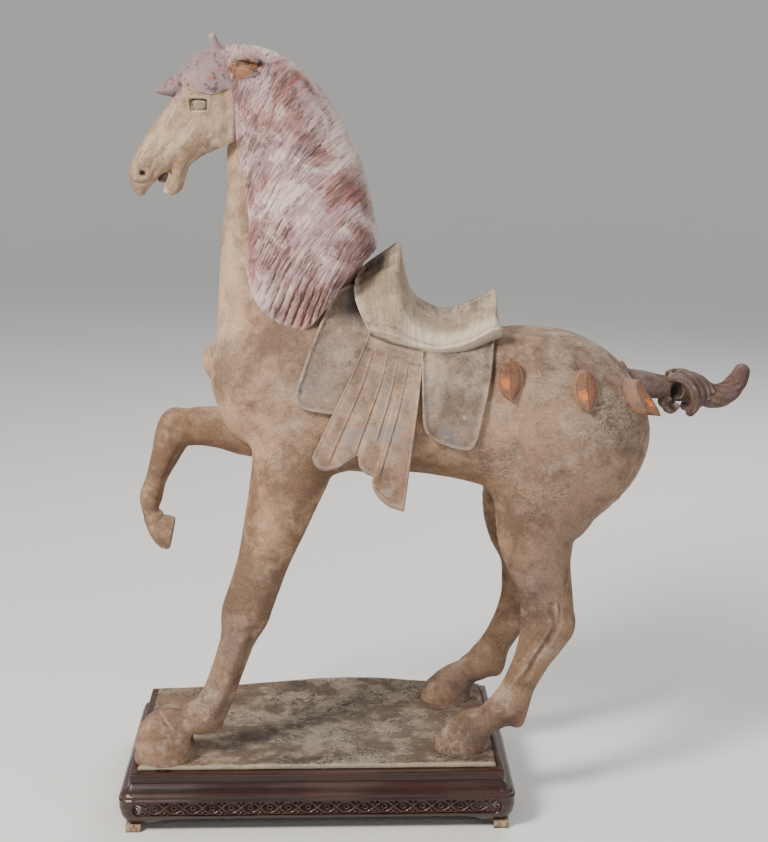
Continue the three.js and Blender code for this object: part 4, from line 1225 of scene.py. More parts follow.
def build_slab(clay):
    """Clay slab: a rounded box whose top swells towards the middle of its back edge."""
    across = np.linspace(-1, 1, 75)
    along = np.linspace(-1, 1, 121)
    x, y = np.meshgrid(along * SLAB["long"] / 2, across * SLAB["deep"] / 2, indexing="ij")
    top = SLAB["hump"] * bell(x - 30, 110) * smooth(10, SLAB["deep"] / 2, y)
    top += 0.5 * waves(x, y, 0 * x, 60, 5)
    edge = np.minimum(SLAB["long"] / 2 - np.abs(x), SLAB["deep"] / 2 - np.abs(y))
    top -= 1.6 * np.exp(-edge / 1.5)
    upper = np.stack([x, y, top], -1)
    lower = np.stack([x, y, -SLAB["thick"] + SLAB["lift"] + 0 * x], -1)
    points, faces = closed_ring(np.concatenate([upper, lower[:, ::-10]], 1))
    make_piece("slab", points, faces, clay)


def stand_out(z):
    """How far the moulding stands out from the rim at a height."""
    heights, out = np.array(MOULDING, float).T
    return np.interp(z, heights, out)


def stand_path():
    """Rows round the stand: number of the side, share of the turn round its corner, and place along
    the side from its middle. Straight runs are crowded towards the slot ends."""
    runs = []
    for turn in range(4):
        angle = math.pi / 2 * turn - math.pi / 2
        half = abs(np.array([-math.sin(angle), math.cos(angle)]) @ RIM_HALF)
        ends = half - SLOT_END - np.array(SLOT_CROWD)
        straight = np.concatenate([-ends, np.linspace(-ends[-1], ends[-1], 30)[1:-1], ends[::-1]])
        runs.append(np.stack([np.full(len(straight), turn), np.zeros(len(straight)), straight], 1))
        runs.append(np.stack([np.full(9, turn), np.linspace(0, 1, 11)[1:-1], np.full(9, half)], 1))
    return np.concatenate(runs)


def stand_places(path, out):
    """Places on a rounded rectangle that stands out from the rim by so much, for each row of the path."""
    angle = math.pi / 2 * path[:, :1] - math.pi / 2
    way = np.concatenate([np.cos(angle), np.sin(angle)], 1)
    ahead = np.stack([-way[:, 1], way[:, 0]], 1)
    radius = np.maximum(2, out + 2)
    reach = np.abs(way @ RIM_HALF)
    half = np.abs(ahead @ RIM_HALF)
    bend = math.pi / 2 * path[:, 1]
    corner = half + out - radius
    along = np.where(path[:, 1] > 0, corner + radius * np.sin(bend), np.clip(path[:, 2], -corner, corner))
    away = reach + out - np.where(path[:, 1] > 0, radius * (1 - np.cos(bend)), 0)
    return way * away[:, None] + ahead * along[:, None]


def side_half(path):
    """Half the length of the side that each row of the path lies on."""
    angle = math.pi / 2 * path[:, 0] - math.pi / 2
    return np.abs(np.cos(angle)) * RIM_HALF[1] + np.abs(np.sin(angle)) * RIM_HALF[0]


def slot_edge(path, upper):
    """Height of the slot's round end at each place of the path, half way up past it."""
    reach = np.abs(path[:, 2])
    half = side_half(path)
    radius = (SLOT_HIGH - SLOT_LOW) / 2
    inside = np.clip((reach - (half - SLOT_END - radius)) / radius, 0, 1)
    rise = radius * np.sqrt(1 - inside**2)
    return (SLOT_HIGH + SLOT_LOW) / 2 + (rise if upper else -rise)


def stand_shell(name, wood, heights, depth):
    """Ring of the moulding between two heights that may change along the path: the outer profile on
    the way down and a plain inner face on the way up."""
    path = stand_path()
    levels = np.array(heights(path))
    outer = [np.column_stack([stand_places(path, stand_out(level)), level]) for level in levels]
    inner = [np.column_stack([stand_places(path, np.minimum(stand_out(level), 9) - depth), level])
             for level in levels[::-4]]
    ring = np.stack(outer + inner, 1)
    rows, columns = ring.shape[:2]
    run = np.concatenate([[0], np.cumsum(np.linalg.norm(np.diff(ring[:, 0], axis=0), axis=1))])
    span = np.linspace(0, 0.12, columns)
    uv = np.stack(np.broadcast_arrays(run[:, None] / 1000, span[None, :]), -1).reshape(-1, 2)
    place = ring.reshape(-1, 3) - [0, 0, SLAB_TOP[2]]
    faces = grid_faces(rows, columns, close_rows=True, close_columns=True)
    make_piece(name, place, faces, wood, uv=uv, nodes=("stand",))


def frame_levels(path):
    """Heights of the frame's rings, from the rim down to the upper edge of the slots."""
    low = slot_edge(path, True)[None, :]
    share = np.linspace(1, 0, 49)[:, None]
    return low + (FRAME_TOP - low) * share


def rail_levels(path):
    """Heights of the rail's rings, from the lower edge of the slots down to the rail's foot, which
    drops to a bracket foot near each corner."""
    high = slot_edge(path, False)
    reach = np.abs(path[:, 2])
    half = side_half(path)
    foot = smooth(half - 34, half - 20, reach)
    low = 15 - 6.7 * foot - 1.2 * bell(half - 36 - reach, 7)
    share = np.linspace(1, 0, 17)[:, None]
    return low[None, :] + (high - low)[None, :] * share


def build_stand(wood):
    """Moulded frame over the slots, the rail with its bracket feet under them, and a plain panel that
    the slab lies on."""
    stand_shell("stand_frame", wood, frame_levels, 10)
    stand_shell("stand_rail", wood, rail_levels, 7)
    half = RIM_HALF - SLOT_END
    grid = [(-half[0], -half[1]), (half[0], -half[1]), (half[0], half[1]), (-half[0], half[1])]
    rings = np.array([[(x, y, z) for x, y in grid] for z in PANEL_HEIGHTS])
    points, faces = closed_ring(rings - [0, 0, SLAB_TOP[2]])
    make_piece("stand_panel", points, faces, wood, nodes=("stand",))


def build_frieze(name, half, place, turn, wood):
    """Pierced scroll in a thin border: two waving stems that cross, a ring in each of their eyes with
    leaf tips beside it, and a bud with two leaves over each crossing, as one field whose edges are
    rounded."""
    mid = (SLOT_HIGH + SLOT_LOW) / 2
    radius = (SLOT_HIGH - SLOT_LOW) / 2
    lattice = Lattice((-half - 1, -4, -radius - 1), (half + 1, 4, radius + 1), STEP["vine"])
    x, y, z = lattice.places(lattice.everywhere())
    flat_x, flat_z = x[:, 0, :], z[:, 0, :]
    cell = VINE["wave"] / 2
    local = flat_x - (np.floor(flat_x / cell) + 0.5) * cell
    across = flat_x - np.round(flat_x / cell) * cell
    up = np.abs(flat_z)
    bow = VINE["rise"] * np.sin(2 * math.pi * flat_x / VINE["wave"])
    stems = [np.abs(flat_z - sign * bow) * 0.72 - VINE["stem"] for sign in (-1, 1)]
    ring = np.abs(np.hypot(local, flat_z) - RING) - RING_WIRE
    bud = np.hypot(across, up - BUD[1]) - BUD[0]
    leaves = np.hypot((np.abs(across) - 2.6) * 0.8, up - LEAF[1]) - LEAF[0]
    tips = np.hypot((np.abs(local) - 4.6) * 0.8, up - TIP[1]) - TIP[0]
    shape = np.minimum.reduce([*stems, ring, bud, leaves, tips])
    straight = half - radius
    reach = np.maximum(np.abs(flat_x) - straight, 0)
    slot = np.hypot(reach, flat_z) - (radius - 0.3)
    shape = np.minimum(shape, -slot - VINE["border"])
    plan = np.maximum(shape, slot)[:, None, :]
    thick = np.abs(y) - VINE["half"] + 0.5 * smooth(-1.4, 0.2, plan)
    overlap = np.maximum(0.9 - np.abs(plan - thick), 0) / 0.9
    lattice.field = (np.maximum(plan, thick) + overlap**2 * 0.22).astype(np.float32)
    points, quads = lattice.skin(1)
    c, s = math.cos(turn), math.sin(turn)
    x, y, z = points.T
    points = np.stack([c * x - s * y + place[0], s * x + c * y + place[1], z + mid - SLAB_TOP[2]], 1)
    make_piece(name.replace("frieze", "vine"), points, quads, wood, nodes=(name,))


class Graph:
    """Shader nodes of one material or group, each joined up as it is made."""

    def __init__(self, tree):
        self.tree = tree

    def add(self, kind, out=0, inputs=None, **settings):
        """A new node's output, or all of them when out is None. Inputs go by name or number and take
        a value or another node's output."""
        node = self.tree.nodes.new("ShaderNode" + kind)
        for name, value in settings.items():
            setattr(node, name, value)
        for name, value in (inputs or {}).items():
            socket = node.inputs[name]
            if isinstance(value, bpy.types.NodeSocket):
                self.tree.links.new(value, socket)
            else:
                socket.default_value = (*value, 1) if socket.type == "RGBA" else value
        return node.outputs if out is None else node.outputs[out]

    def noise(self, where, scale, detail=4, rough=0.55, warp=0.0):
        """Smooth noise, about 0.5 on average."""
        inputs = {"Vector": where, "Scale": scale, "Detail": detail, "Roughness": rough, "Distortion": warp}
        return self.add("TexNoise", 0, inputs)

    def stretch(self, where, scale, shift=(0, 0, 0)):
        """Places scaled along each axis and shifted."""
        return self.add("Mapping", 0, {"Vector": where, "Scale": scale, "Location": shift})

    def along(self, where, slope, scale):
        """Places turned about Y by a slope first and then stretched, for marks that run one way."""
        scale = tuple(1 / part for part in scale)
        inputs = {"Vector": where, "Rotation": (0, slope, 0), "Scale": scale}
        return self.add("Mapping", 0, inputs, vector_type="TEXTURE")

    def ramp(self, value, low, high, start=0.0, end=1.0):
        """Smoothstep of a value between two limits, from a start to an end value."""
        inputs = {"Value": value, "From Min": low, "From Max": high, "To Min": start, "To Max": end}
        return self.add("MapRange", 0, inputs, interpolation_type="SMOOTHSTEP")

    def math(self, kind, a, b=0.0):
        """One step of arithmetic."""
        return self.add("Math", 0, {0: a, 1: b}, operation=kind)

    def times(self, a, b):
        """Product."""
        return self.math("MULTIPLY", a, b)

    def plus(self, a, b):
        """Sum."""
        return self.math("ADD", a, b)

    def mix(self, share, a, b, kind="MIX"):
        """Colour between two colours."""
        return self.add("Mix", 2, {0: share, 6: a, 7: b}, data_type="RGBA", blend_type=kind)

    def mask(self, name):
        """A piece's own value."""
        return self.add("Attribute", 2, attribute_name=name)

    def place(self):
        """Object coordinates."""
        return self.add("TexCoord", 3)


def group(name, inputs, outputs, fill):
    """A shader node group: its sockets by name and kind, and a function that wires it."""
    tree = bpy.data.node_groups.new(name, "ShaderNodeTree")
    for label, kind in inputs:
        tree.interface.new_socket(label, in_out="INPUT", socket_type="NodeSocket" + kind)
    for label, kind in outputs:
        tree.interface.new_socket(label, in_out="OUTPUT", socket_type="NodeSocket" + kind)
    start = tree.nodes.new("NodeGroupInput").outputs
    end = tree.nodes.new("NodeGroupOutput").inputs
    for label, value in fill(Graph(tree), start).items():
        tree.links.new(value, end[label])
    return tree


def clay_tone(graph, given):
    """Fired clay: slow patches between two tones, mottling, small pits and fine grain."""
    where = graph.place()
    slow = graph.noise(where, 11, 4, 0.6, 0.4)
    mottle = graph.noise(where, 62, 6, 0.68, 0.3)
    grain = graph.noise(where, 640, 3, 0.7)
    blend = graph.plus(graph.times(slow, 0.6), graph.times(mottle, 0.4))
    colour = graph.mix(graph.ramp(blend, 0.4, 0.6), given["Light"], given["Dark"])
    colour = graph.mix(0.9, colour, graph.ramp(grain, 0.3, 0.7, 0.7, 1.2), "MULTIPLY")
    pit = graph.ramp(graph.add("TexVoronoi", 0, {"Vector": where, "Scale": 230.0}), 0.3, 0.05)
    pit = graph.times(pit, graph.ramp(mottle, 0.54, 0.62))
    colour = graph.mix(graph.times(pit, 0.6), colour, given["Dark"])
    height = graph.math("SUBTRACT", graph.plus(mottle, graph.times(grain, 0.3)), pit)
    return {"Colour": colour, "Height": height, "Roughness": graph.ramp(mottle, 0.3, 0.7, 0.74, 0.94)}


def dust(graph, given):
    """Pale dust in blotches, more where the surface looks up, and dry scratches where the mask says."""
    where = graph.place()
    up = graph.add("SeparateXYZ", 2, {0: graph.add("NewGeometry", 1)})
    blot = graph.plus(graph.noise(where, 34, 9, 0.72), graph.times(up, 0.07))
    amount = graph.times(graph.ramp(blot, 0.53, 0.68), given["Amount"])
    colour = graph.mix(amount, given["Colour"], DUST)
    rough = graph.noise(graph.stretch(where, (1, 1, 2.2)), 58, 7, 0.75, 1.6)
    line = graph.ramp(graph.math("ABSOLUTE", graph.math("SUBTRACT", rough, 0.5)), 0.028, 0.006)
    patch = graph.ramp(graph.noise(where, 19, 3, 0.6), 0.46, 0.56)
    scratch = graph.times(graph.times(line, patch), given["Scratch"])
    return {"Colour": graph.mix(graph.times(scratch, 0.75), colour, CHALK), "Mask": scratch}


def crease_shade_and_dirt(graph, given):
    """Dirt and painted shade darkening the grooves, and pale wear on the ridges, from the piece's own crease
    values.
    """
    uneven = graph.ramp(graph.noise(graph.place(), 90, 5, 0.7), 0.3, 0.7, 0.4, 1.3)
    crease = graph.times(graph.mask("crease"), uneven)
    # Grooves darkened: dirt and painted shade
    low = graph.times(graph.ramp(crease, 0.02, 0.13), given["Dirt"])
    colour = graph.mix(low, given["Colour"], DIRT_AND_SHADE)
    high = graph.times(graph.ramp(crease, -0.03, -0.14), given["Wear"])
    return {"Colour": graph.mix(high, colour, CHALK)}


def worn_paint(graph, given):
    """Paint left in flakes: the amount moves the level at which a rough noise is cut."""
    where = graph.stretch(graph.place(), (1, 1, 1), (0.13, 0.07, 0.31))
    rough = graph.noise(where, given["Size"], 9, 0.72, 0.2)
    level = graph.plus(rough, graph.times(given["Amount"], 0.55))
    mask = graph.times(graph.ramp(level, 0.72, 0.82), graph.ramp(given["Amount"], 0, 0.15))
    return {"Colour": graph.mix(mask, given["Under"], given["Paint"])}


def build_groups():
    """The effects that more than one material uses."""
    colours = lambda *labels: [(label, "Color") for label in labels]
    values = lambda *labels: [(label, "Float") for label in labels]
    given = {
        "tone": ("clay_tone", colours("Light", "Dark"), colours("Colour") + values("Height", "Roughness"),
                 clay_tone),
        "dust": ("dust", colours("Colour") + values("Amount", "Scratch"), colours("Colour") + values("Mask"),
                 dust),
        "dirt": ("crease_shade_and_dirt", colours("Colour") + values("Dirt", "Wear"), colours("Colour"), crease_shade_and_dirt),
        "paint": ("worn_paint", colours("Under", "Paint") + values("Amount", "Size"), colours("Colour"),
                  worn_paint),
    }
    return {key: group(*parts) for key, parts in given.items()}


def surface(graph, shader, colour, rough, height, relief, **constants):
    """Joins the values to the shader of a material; relief is the bump's height in metres."""
    graph.tree.links.new(colour, shader.inputs["Base Color"])
    graph.tree.links.new(rough, shader.inputs["Roughness"])
    bump = graph.add("Bump", 0, {"Height": height, "Distance": relief, "Strength": 1.0})
    graph.tree.links.new(bump, shader.inputs["Normal"])
    for name, value in constants.items():
        shader.inputs[name.replace("_", " ")].default_value = value


def new_material(name):
    """A material with its node graph and its shader."""
    material = bpy.data.materials.new(name)
    material.use_nodes = True
    return material, Graph(material.node_tree), material.node_tree.nodes["Principled BSDF"]


def flakes(graph, under, paint, amount, size):
    """Worn paint over a colour, its amount a number or a mask."""
    inputs = {"Under": under, "Paint": paint, "Amount": amount, "Size": size}
    return graph.add("Group", 0, inputs, node_tree=GROUPS["paint"])


def coats(graph, under, rows, mask=None):
    """Coats of worn paint one over another, from rows of colour, amount and size, where a mask is."""
    for paint, amount, size in rows:
        if mask is not None:
            amount = graph.times(mask, amount)
        under = flakes(graph, under, paint, amount, size)
    return under


def clay_material(name, light, dark, dusty, dirt, wear, paint=None, relief=0.0006, scratchy=1.0):
    """Clay in two tones, changed where the masks say, then the piece's own paint, dust, and dirt with
    painted shade in the grooves.
    """
    material, graph, shader = new_material(name)
    for mask, shade, share in TONE_SHADES:
        amount = graph.times(graph.mask(mask), share)
        light = graph.mix(amount, light, shade)
        dark = graph.mix(amount, dark, tuple(0.55 * part for part in shade))
    tones = {"Light": light, "Dark": dark}
    colour, height, rough = graph.add("Group", None, tones, node_tree=GROUPS["tone"])
    if paint:
        colour, height = paint(graph, colour, height)
    scratch = graph.times(graph.mask("scratched"), scratchy)
    inputs = {"Colour": colour, "Amount": dusty, "Scratch": scratch}
    colour, scratch = graph.add("Group", None, inputs, node_tree=GROUPS["dust"])
    height = graph.plus(height, graph.times(scratch, 0.25))
    # Dirt and painted shade in the grooves, wear on the ridges
    inputs = {"Colour": colour, "Dirt": dirt, "Wear": wear}
    colour = graph.add("Group", 0, inputs, node_tree=GROUPS["dirt"])
    surface(graph, shader, colour, rough, height, relief, Specular_IOR_Level=0.25)
    return material


def poll_paint(graph, colour):
    """Orange-brown patch behind the ear with dark streaks in it."""
    poll = graph.mask("poll")
    colour = flakes(graph, colour, (0.27, 0.12, 0.065), graph.times(poll, 0.75), 40)
    streak = graph.noise(graph.along(graph.place(), 0.5, (0.35, 1, 1)), 110, 5, 0.7, 0.9)
    dark = graph.times(graph.ramp(streak, 0.49, 0.58), graph.ramp(poll, 0.15, 0.6, 0, 0.85))
    return graph.mix(dark, colour, (0.09, 0.045, 0.03))


def head_paint(graph, colour, height):
    """Mauve, grey and brick-red paint on the hair cap and forelock, brown brush marks down the face, a
    grey eyeball and painted shade in the mouth, nostrils, inner eye corners and under the forelock."""
    hair = graph.mask("paint")
    colour = coats(graph, colour, [
        ((0.35, 0.225, 0.215), 1, 45), ((0.245, 0.185, 0.195), 0.56, 38),
        ((0.27, 0.135, 0.11), 0.36, 62), ((0.1, 0.06, 0.06), 0.33, 120),
    ], hair)
    colour = coats(graph, colour, [((0.19, 0.125, 0.135), 0.5, 60)], graph.mask("lock"))
    colour = poll_paint(graph, colour)
    marks = graph.noise(graph.along(graph.place(), FACE_SLOPE, (0.14, 1, 1)), 95, 5, 0.65, 0.5)
    bare = graph.math("SUBTRACT", 1.0, hair)
    brush = graph.times(graph.ramp(marks, 0.5, 0.62, 0, 0.7), bare)
    colour = graph.mix(brush, colour, (0.25, 0.15, 0.08))
    light = graph.times(graph.ramp(marks, 0.46, 0.36, 0, 0.5), bare)
    colour = graph.mix(light, colour, (0.64, 0.5, 0.36))
    colour = graph.mix(graph.times(graph.mask("eye"), 0.75), colour, (0.2, 0.175, 0.155))
    # The dark mask is painted shade in the mouth, nostrils, eye corners and under the forelock
    return graph.mix(graph.mask("dark"), colour, PIT_SHADE), height


def mane_paint(graph, colour, height):
    """Pink, lilac and whitish paint in patches, with mauve and red streaks and thin dark cracks that
    run along the strands."""
    flow = graph.add("UVMap", 0, uv_map="flow")
    where = graph.place()
    broad = graph.noise(graph.stretch(flow, (22, 4, 1)), 1.0, 5, 0.65, 0.7)
    fine = graph.noise(graph.stretch(flow, (130, 6, 1)), 1.0, 5, 0.7, 0.7)
    reds = graph.noise(graph.stretch(flow, (60, 5, 1), (3, 7, 0)), 1.0, 6, 0.7, 0.8)
    cracks = graph.noise(graph.stretch(flow, (210, 6, 1), (1, 4, 0)), 1.0, 3, 0.6, 0.5)
    patch = graph.noise(where, 24, 7, 0.68, 0.4)
    other = graph.noise(graph.stretch(where, (1, 1, 1), (0.4, 0.1, 0.2)), 17, 5, 0.6, 0.3)
    colour = graph.mix(graph.ramp(broad, 0.36, 0.62), (0.54, 0.365, 0.35), (0.37, 0.25, 0.26))
    colour = graph.mix(graph.ramp(other, 0.5, 0.58, 0, 0.8), colour, (0.33, 0.17, 0.15))
    colour = graph.mix(graph.ramp(patch, 0.48, 0.38, 0, 0.8), colour, (0.7, 0.58, 0.54))
    worn = graph.times(graph.ramp(patch, 0.5, 0.58), graph.ramp(fine, 0.4, 0.56, 0.2, 0.95))
    colour = graph.mix(worn, colour, (0.15, 0.08, 0.08))
    red = graph.times(graph.ramp(reds, 0.52, 0.62), graph.ramp(other, 0.4, 0.55, 0.15, 0.8))
    colour = graph.mix(red, colour, (0.34, 0.11, 0.085))
    colour = graph.mix(graph.ramp(fine, 0.55, 0.64, 0, 0.7), colour, (0.15, 0.075, 0.075))
    colour = graph.mix(graph.ramp(fine, 0.4, 0.3, 0, 0.6), colour, (0.72, 0.62, 0.58))
    colour = graph.mix(graph.ramp(cracks, 0.62, 0.68, 0, 0.6), colour, (0.1, 0.05, 0.05))
    colour = poll_paint(graph, colour)
    height = graph.plus(graph.times(height, 0.5), graph.times(fine, -0.9))
    return colour, graph.math("SUBTRACT", height, graph.ramp(cracks, 0.6, 0.7, 0, 0.5))


def saddle_paint(graph, colour, height):
    """Whitish lower panel and rims, dark streaks down the pommel, painted shade in the seat and thin red
    traces.
    """
    flow = graph.add("UVMap", 0, uv_map="flow")
    streak = graph.noise(graph.stretch(flow, (46, 1.6, 1)), 1.0, 5, 0.65, 0.3)
    # Dark mask: paint streaks down the pommel and painted shade in the seat
    shade = graph.times(graph.mask("dark"), graph.ramp(streak, 0.38, 0.58, 0.4, 1.0))
    colour = graph.mix(graph.ramp(streak, 0.5, 0.62, 0, 0.4), colour, (0.17, 0.135, 0.1))
    colour = graph.mix(shade, colour, (0.085, 0.068, 0.05))
    pale = graph.times(graph.mask("chalk"), graph.ramp(streak, 0.35, 0.65, 0.85, 0.45))
    colour = graph.mix(pale, colour, (0.7, 0.6, 0.48))
    return coats(graph, colour, [((0.2, 0.15, 0.11), 0.22, 48), ((0.4, 0.16, 0.1), 0.17, 90)]), height


def cloth_paint(graph, colour, height):
    """Greyish ground with whitish specks and a paler border."""
    colour = coats(graph, colour, [((0.2, 0.17, 0.16), 0.38, 30), ((0.5, 0.42, 0.34), 0.22, 110)])
    uneven = graph.ramp(graph.noise(graph.place(), 45, 4), 0.4, 0.6, 0.0, 0.5)
    border = graph.times(graph.mask("chalk"), uneven)
    return graph.mix(border, colour, (0.46, 0.36, 0.27)), height


def flap_paint(graph, colour, height):
    """Traces of red and yellow in thin streaks down the pleats, over greyish patches."""
    flow = graph.add("UVMap", 0, uv_map="flow")
    streak = graph.noise(graph.stretch(flow, (60, 5, 1)), 1.0, 6, 0.72, 0.6)
    colour = flakes(graph, colour, (0.3, 0.24, 0.215), 0.32, 26)
    colour = graph.mix(graph.ramp(streak, 0.61, 0.68, 0, 0.55), colour, (0.36, 0.13, 0.085))
    colour = graph.mix(graph.ramp(streak, 0.38, 0.31, 0, 0.45), colour, (0.55, 0.42, 0.28))
    return flakes(graph, colour, (0.44, 0.24, 0.1), 0.15, 55), height


def plaque_paint(graph, colour, height):
    """Worn orange-brown paint with one bright orange spot on the leaf's left half."""
    colour = flakes(graph, colour, (0.23, 0.105, 0.06), 0.56, 70)
    bright = graph.times(graph.mask("orange"), 0.62)
    colour = flakes(graph, colour, (0.5, 0.16, 0.045), graph.times(bright, 1.2), 55)
    return flakes(graph, colour, (0.72, 0.22, 0.05), graph.times(bright, 0.7), 90), height


def tail_paint(graph, colour, height):
    """Purple-brown hair paint, with painted shade in the hollow of the knot."""
    colour = coats(graph, colour, [((0.14, 0.085, 0.09), 0.42, 48), ((0.18, 0.09, 0.045), 0.18, 60)])
    # Painted shade in the knot's hollow
    return graph.mix(graph.mask("dark"), colour, (0.012, 0.008, 0.007)), height


def slab_paint(graph, colour, height):
    """Fine white specks, a darker middle and brown dust along the front edge."""
    place = graph.add("SeparateXYZ", None, {0: graph.place()})
    middle = graph.math("ABSOLUTE", graph.plus(place[1], 0.02))
    colour = graph.mix(graph.ramp(middle, 0.08, 0.02, 0, 0.35), colour, (0.12, 0.098, 0.08))
    colour = flakes(graph, colour, (0.2, 0.145, 0.09), graph.ramp(place[1], -0.085, -0.11, 0, 0.5), 60)
    return flakes(graph, colour, (0.42, 0.36, 0.28), 0.2, 120), height


def wood_material():
    """Dark red-brown hardwood: grain lying along every rail, worn lighter on the ridges, with painted shade
    in the grooves.
    """
    material, graph, shader = new_material("stand_wood")
    where = graph.place()
    grain = graph.noise(graph.stretch(where, (7, 7, 260)), 1.0, 5, 0.6, 0.6)
    pores = graph.noise(graph.stretch(where, (40, 40, 900)), 1.0, 2, 0.5)
    slow = graph.noise(where, 14, 3, 0.5)
    colour = graph.mix(graph.ramp(grain, 0.35, 0.68), (0.036, 0.0085, 0.0045), (0.011, 0.0035, 0.0024))
    colour = graph.mix(graph.times(graph.ramp(slow, 0.45, 0.65), 0.5), colour, (0.045, 0.012, 0.006))
    high = graph.times(graph.ramp(graph.mask("crease"), -0.04, -0.16), 0.55)
    colour = graph.mix(high, colour, (0.09, 0.025, 0.012))
    # Painted shade darkening the grooves of the carving
    low = graph.times(graph.ramp(graph.mask("crease"), 0.02, 0.12), 0.7)
    colour = graph.mix(low, colour, (0.01, 0.0045, 0.0035))
    rough = graph.ramp(graph.plus(slow, graph.times(pores, 0.3)), 0.4, 0.9, 0.24, 0.5)
    height = graph.plus(graph.times(grain, 0.5), graph.times(pores, 0.5))
    surface(graph, shader, colour, rough, height, 0.00025, Coat_Weight=0.25, Coat_Roughness=0.2)
    return material


def pad_material():
    """Pale chipped wood of the foot pads, darker towards the bottom."""
    material, graph, shader = new_material("foot_pads")
    where = graph.place()
    chips = graph.noise(where, 210, 6, 0.7)
    height = graph.add("SeparateXYZ", 2, {0: where})
    colour = graph.mix(graph.ramp(chips, 0.4, 0.6), (0.42, 0.31, 0.21), (0.16, 0.1, 0.065))
    # Darker towards the bottom of the pads
    colour = graph.mix(graph.ramp(height, 0.004, 0, 0, 0.7), colour, (0.05, 0.035, 0.025))
    surface(graph, shader, colour, graph.ramp(chips, 0.3, 0.7, 0.6, 0.9), chips, 0.0015)
    return material


def floor_material():
    """Plain pale ground, hardly mottled."""
    material, graph, shader = new_material("floor_pale")
    mottle = graph.noise(graph.place(), 3, 3)
    colour = graph.mix(mottle, (0.78, 0.78, 0.77), (0.82, 0.815, 0.8))
    surface(graph, shader, colour, graph.ramp(mottle, 0.3, 0.7, 0.85, 0.95), mottle, 0.0002)
    return material


def build_camera():
    """The photograph's viewpoint: focal length in photo pixels against the photo's long side."""
    data = bpy.data.cameras.new("camera")
    data.lens = data.sensor_width * CAMERA["focal"] / max(PHOTO)
    data.clip_start = 0.05
    camera = bpy.data.objects.new("camera", data)
    camera.location = (np.array(CAMERA["at"]) + SLAB_TOP) / 1000
    camera.rotation_euler = (math.pi / 2 - CAMERA["down"], 0, -CAMERA["right"])
    bpy.context.scene.collection.objects.link(camera)
    bpy.context.scene.camera = camera


def build_light():
    """Even sky and three soft area lights, the key high on the left as in the photograph."""
    world = bpy.data.worlds.new("studio")
    world.use_nodes = True
    world.node_tree.nodes["Background"].inputs["Color"].default_value = (0.95, 0.97, 1, 1)
    world.node_tree.nodes["Background"].inputs["Strength"].default_value = SKY
    bpy.context.scene.world = world
    for name, at, size, power, colour in LIGHTS:
        data = bpy.data.lights.new(name, "AREA")
        data.size = size
        data.energy = power
        data.color = colour
        light = bpy.data.objects.new(name, data)
        light.location = at
        aim = np.array([-0.05, 0, 0.4]) - np.array(at)
        lean = math.acos(-aim[2] / np.linalg.norm(aim))
        light.rotation_euler = (lean, 0, math.atan2(aim[1], aim[0]) - math.pi / 2)
        bpy.context.scene.collection.objects.link(light)


def build_floor():
    """Flat disc whose rim curves up all round into a backdrop."""
    bend = np.linspace(0, math.pi / 2, 14)
    reach = np.concatenate([[0.02], FLOOR["flat"] + FLOOR["rise"] * np.sin(bend)])
    height = np.concatenate([[0], FLOOR["top"] * (1 - np.cos(bend))])
    turn = np.linspace(0, 2 * math.pi, 97)[:-1]
    points = np.stack(np.broadcast_arrays(
        reach[:, None] * np.cos(turn), reach[:, None] * np.sin(turn), height[:, None]), -1).reshape(-1, 3)
    faces = grid_faces(len(reach), len(turn), close_columns=True).tolist() + [list(range(len(turn)))]
    mesh = bpy.data.meshes.new("floor")
    mesh.from_pydata(points.tolist(), [], faces)
    mesh.shade_smooth()
    floor = bpy.data.objects.new("floor", mesh)
    floor.data.materials.append(floor_material())
    bpy.context.scene.collection.objects.link(floor)


GROUPS = build_groups()

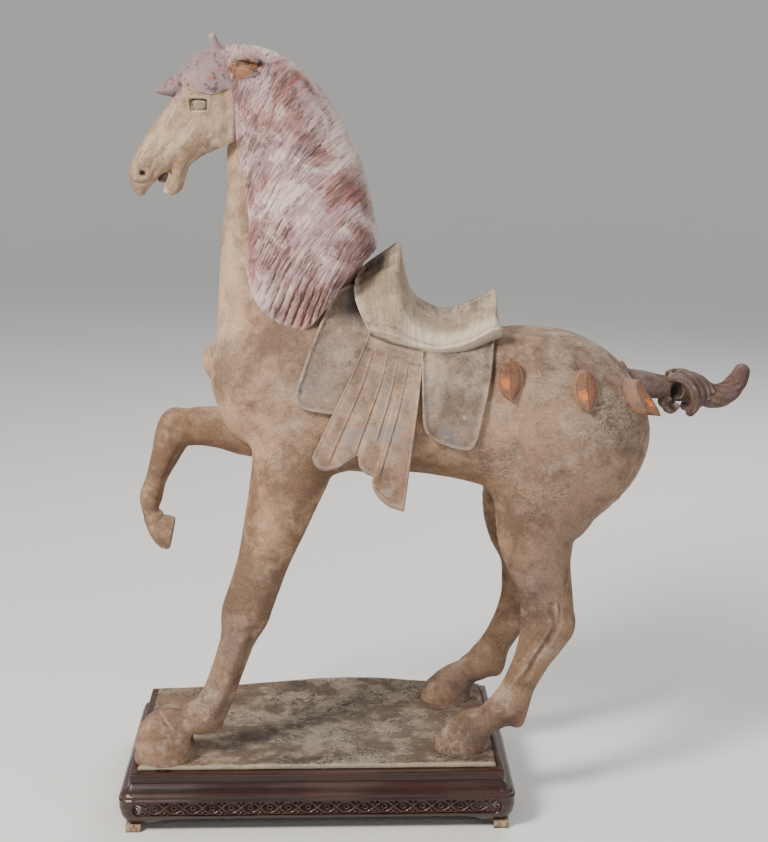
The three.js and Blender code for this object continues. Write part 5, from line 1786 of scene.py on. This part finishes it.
# Each clay: light and dark tone, dust, dirt and painted shade in the grooves, wear on ridges, its paint,
# bump in metres and share of the scratches
clay = clay_material("clay_body", (0.45, 0.29, 0.185), (0.19, 0.118, 0.078), 0.4, 0.8, 0.3)
head_clay = clay_material(
    "clay_head", (0.44, 0.31, 0.215), (0.28, 0.19, 0.13), 0.2, 0.8, 0.2, head_paint)
mane_clay = clay_material(
    "clay_mane", (0.5, 0.36, 0.33), (0.3, 0.2, 0.19), 0.12, 0.75, 0.25, mane_paint, 0.0011)
saddle_clay = clay_material(
    "clay_saddle", (0.58, 0.46, 0.33), (0.32, 0.245, 0.17), 0.3, 0.8, 0.35, saddle_paint)
cloth_clay = clay_material(
    "clay_cloth", (0.36, 0.26, 0.195), (0.17, 0.125, 0.098), 0.5, 0.6, 0.12, cloth_paint)
flap_clay = clay_material(
    "clay_flap", (0.48, 0.32, 0.225), (0.26, 0.17, 0.12), 0.35, 0.55, 0.12, flap_paint)
plaque_clay = clay_material(
    "clay_plaque", (0.2, 0.12, 0.082), (0.11, 0.064, 0.045), 0.1, 0.8, 0.08, plaque_paint, 0.0006, 0.2)
tail_clay = clay_material(
    "clay_tail", (0.12, 0.072, 0.056), (0.05, 0.029, 0.024), 0.12, 0.95, 0.22, tail_paint, 0.0006, 0.2)
slab_clay = clay_material(
    "clay_slab", (0.115, 0.085, 0.061), (0.055, 0.042, 0.032), 0.32, 0.6, 0.3, slab_paint, 0.0012)
wood = wood_material()
under = build_body(clay)
build_head(head_clay)
build_mane(mane_clay)
build_saddle(saddle_clay)
build_cloth("front_cloth", FRONT_CLOTH, cloth_clay, under)
build_cloth("rear_cloth", REAR_CLOTH, cloth_clay, under)
build_tail(tail_clay)
build_chest_leaf(flap_clay)
build_slab(slab_clay)
build_stand(wood)
half_x, half_y = RIM_HALF - SLOT_END
out_x, out_y = RIM_HALF + VINE["out"]
for name, half, place, turn in (
    ("frieze_front", half_x, (0, -out_y), 0),
    ("frieze_back", half_x, (0, out_y), math.pi),
    ("frieze_left", half_y, (-out_x, 0), -math.pi / 2),
    ("frieze_right", half_y, (out_x, 0), math.pi / 2),
):
    build_frieze(name, half, place, turn, wood)
for side in (-1, 1):
    build_flap(side, flap_clay)
    for number in range(len(PLAQUES)):
        build_plaque(number, side, plaque_clay)
pads = pad_material()
for corner in ("front_left", "front_right", "back_left", "back_right"):
    for slot in bpy.data.objects[f"foot_pad_{corner}"].material_slots:
        slot.material = pads
build_camera()
build_light()
build_floor()
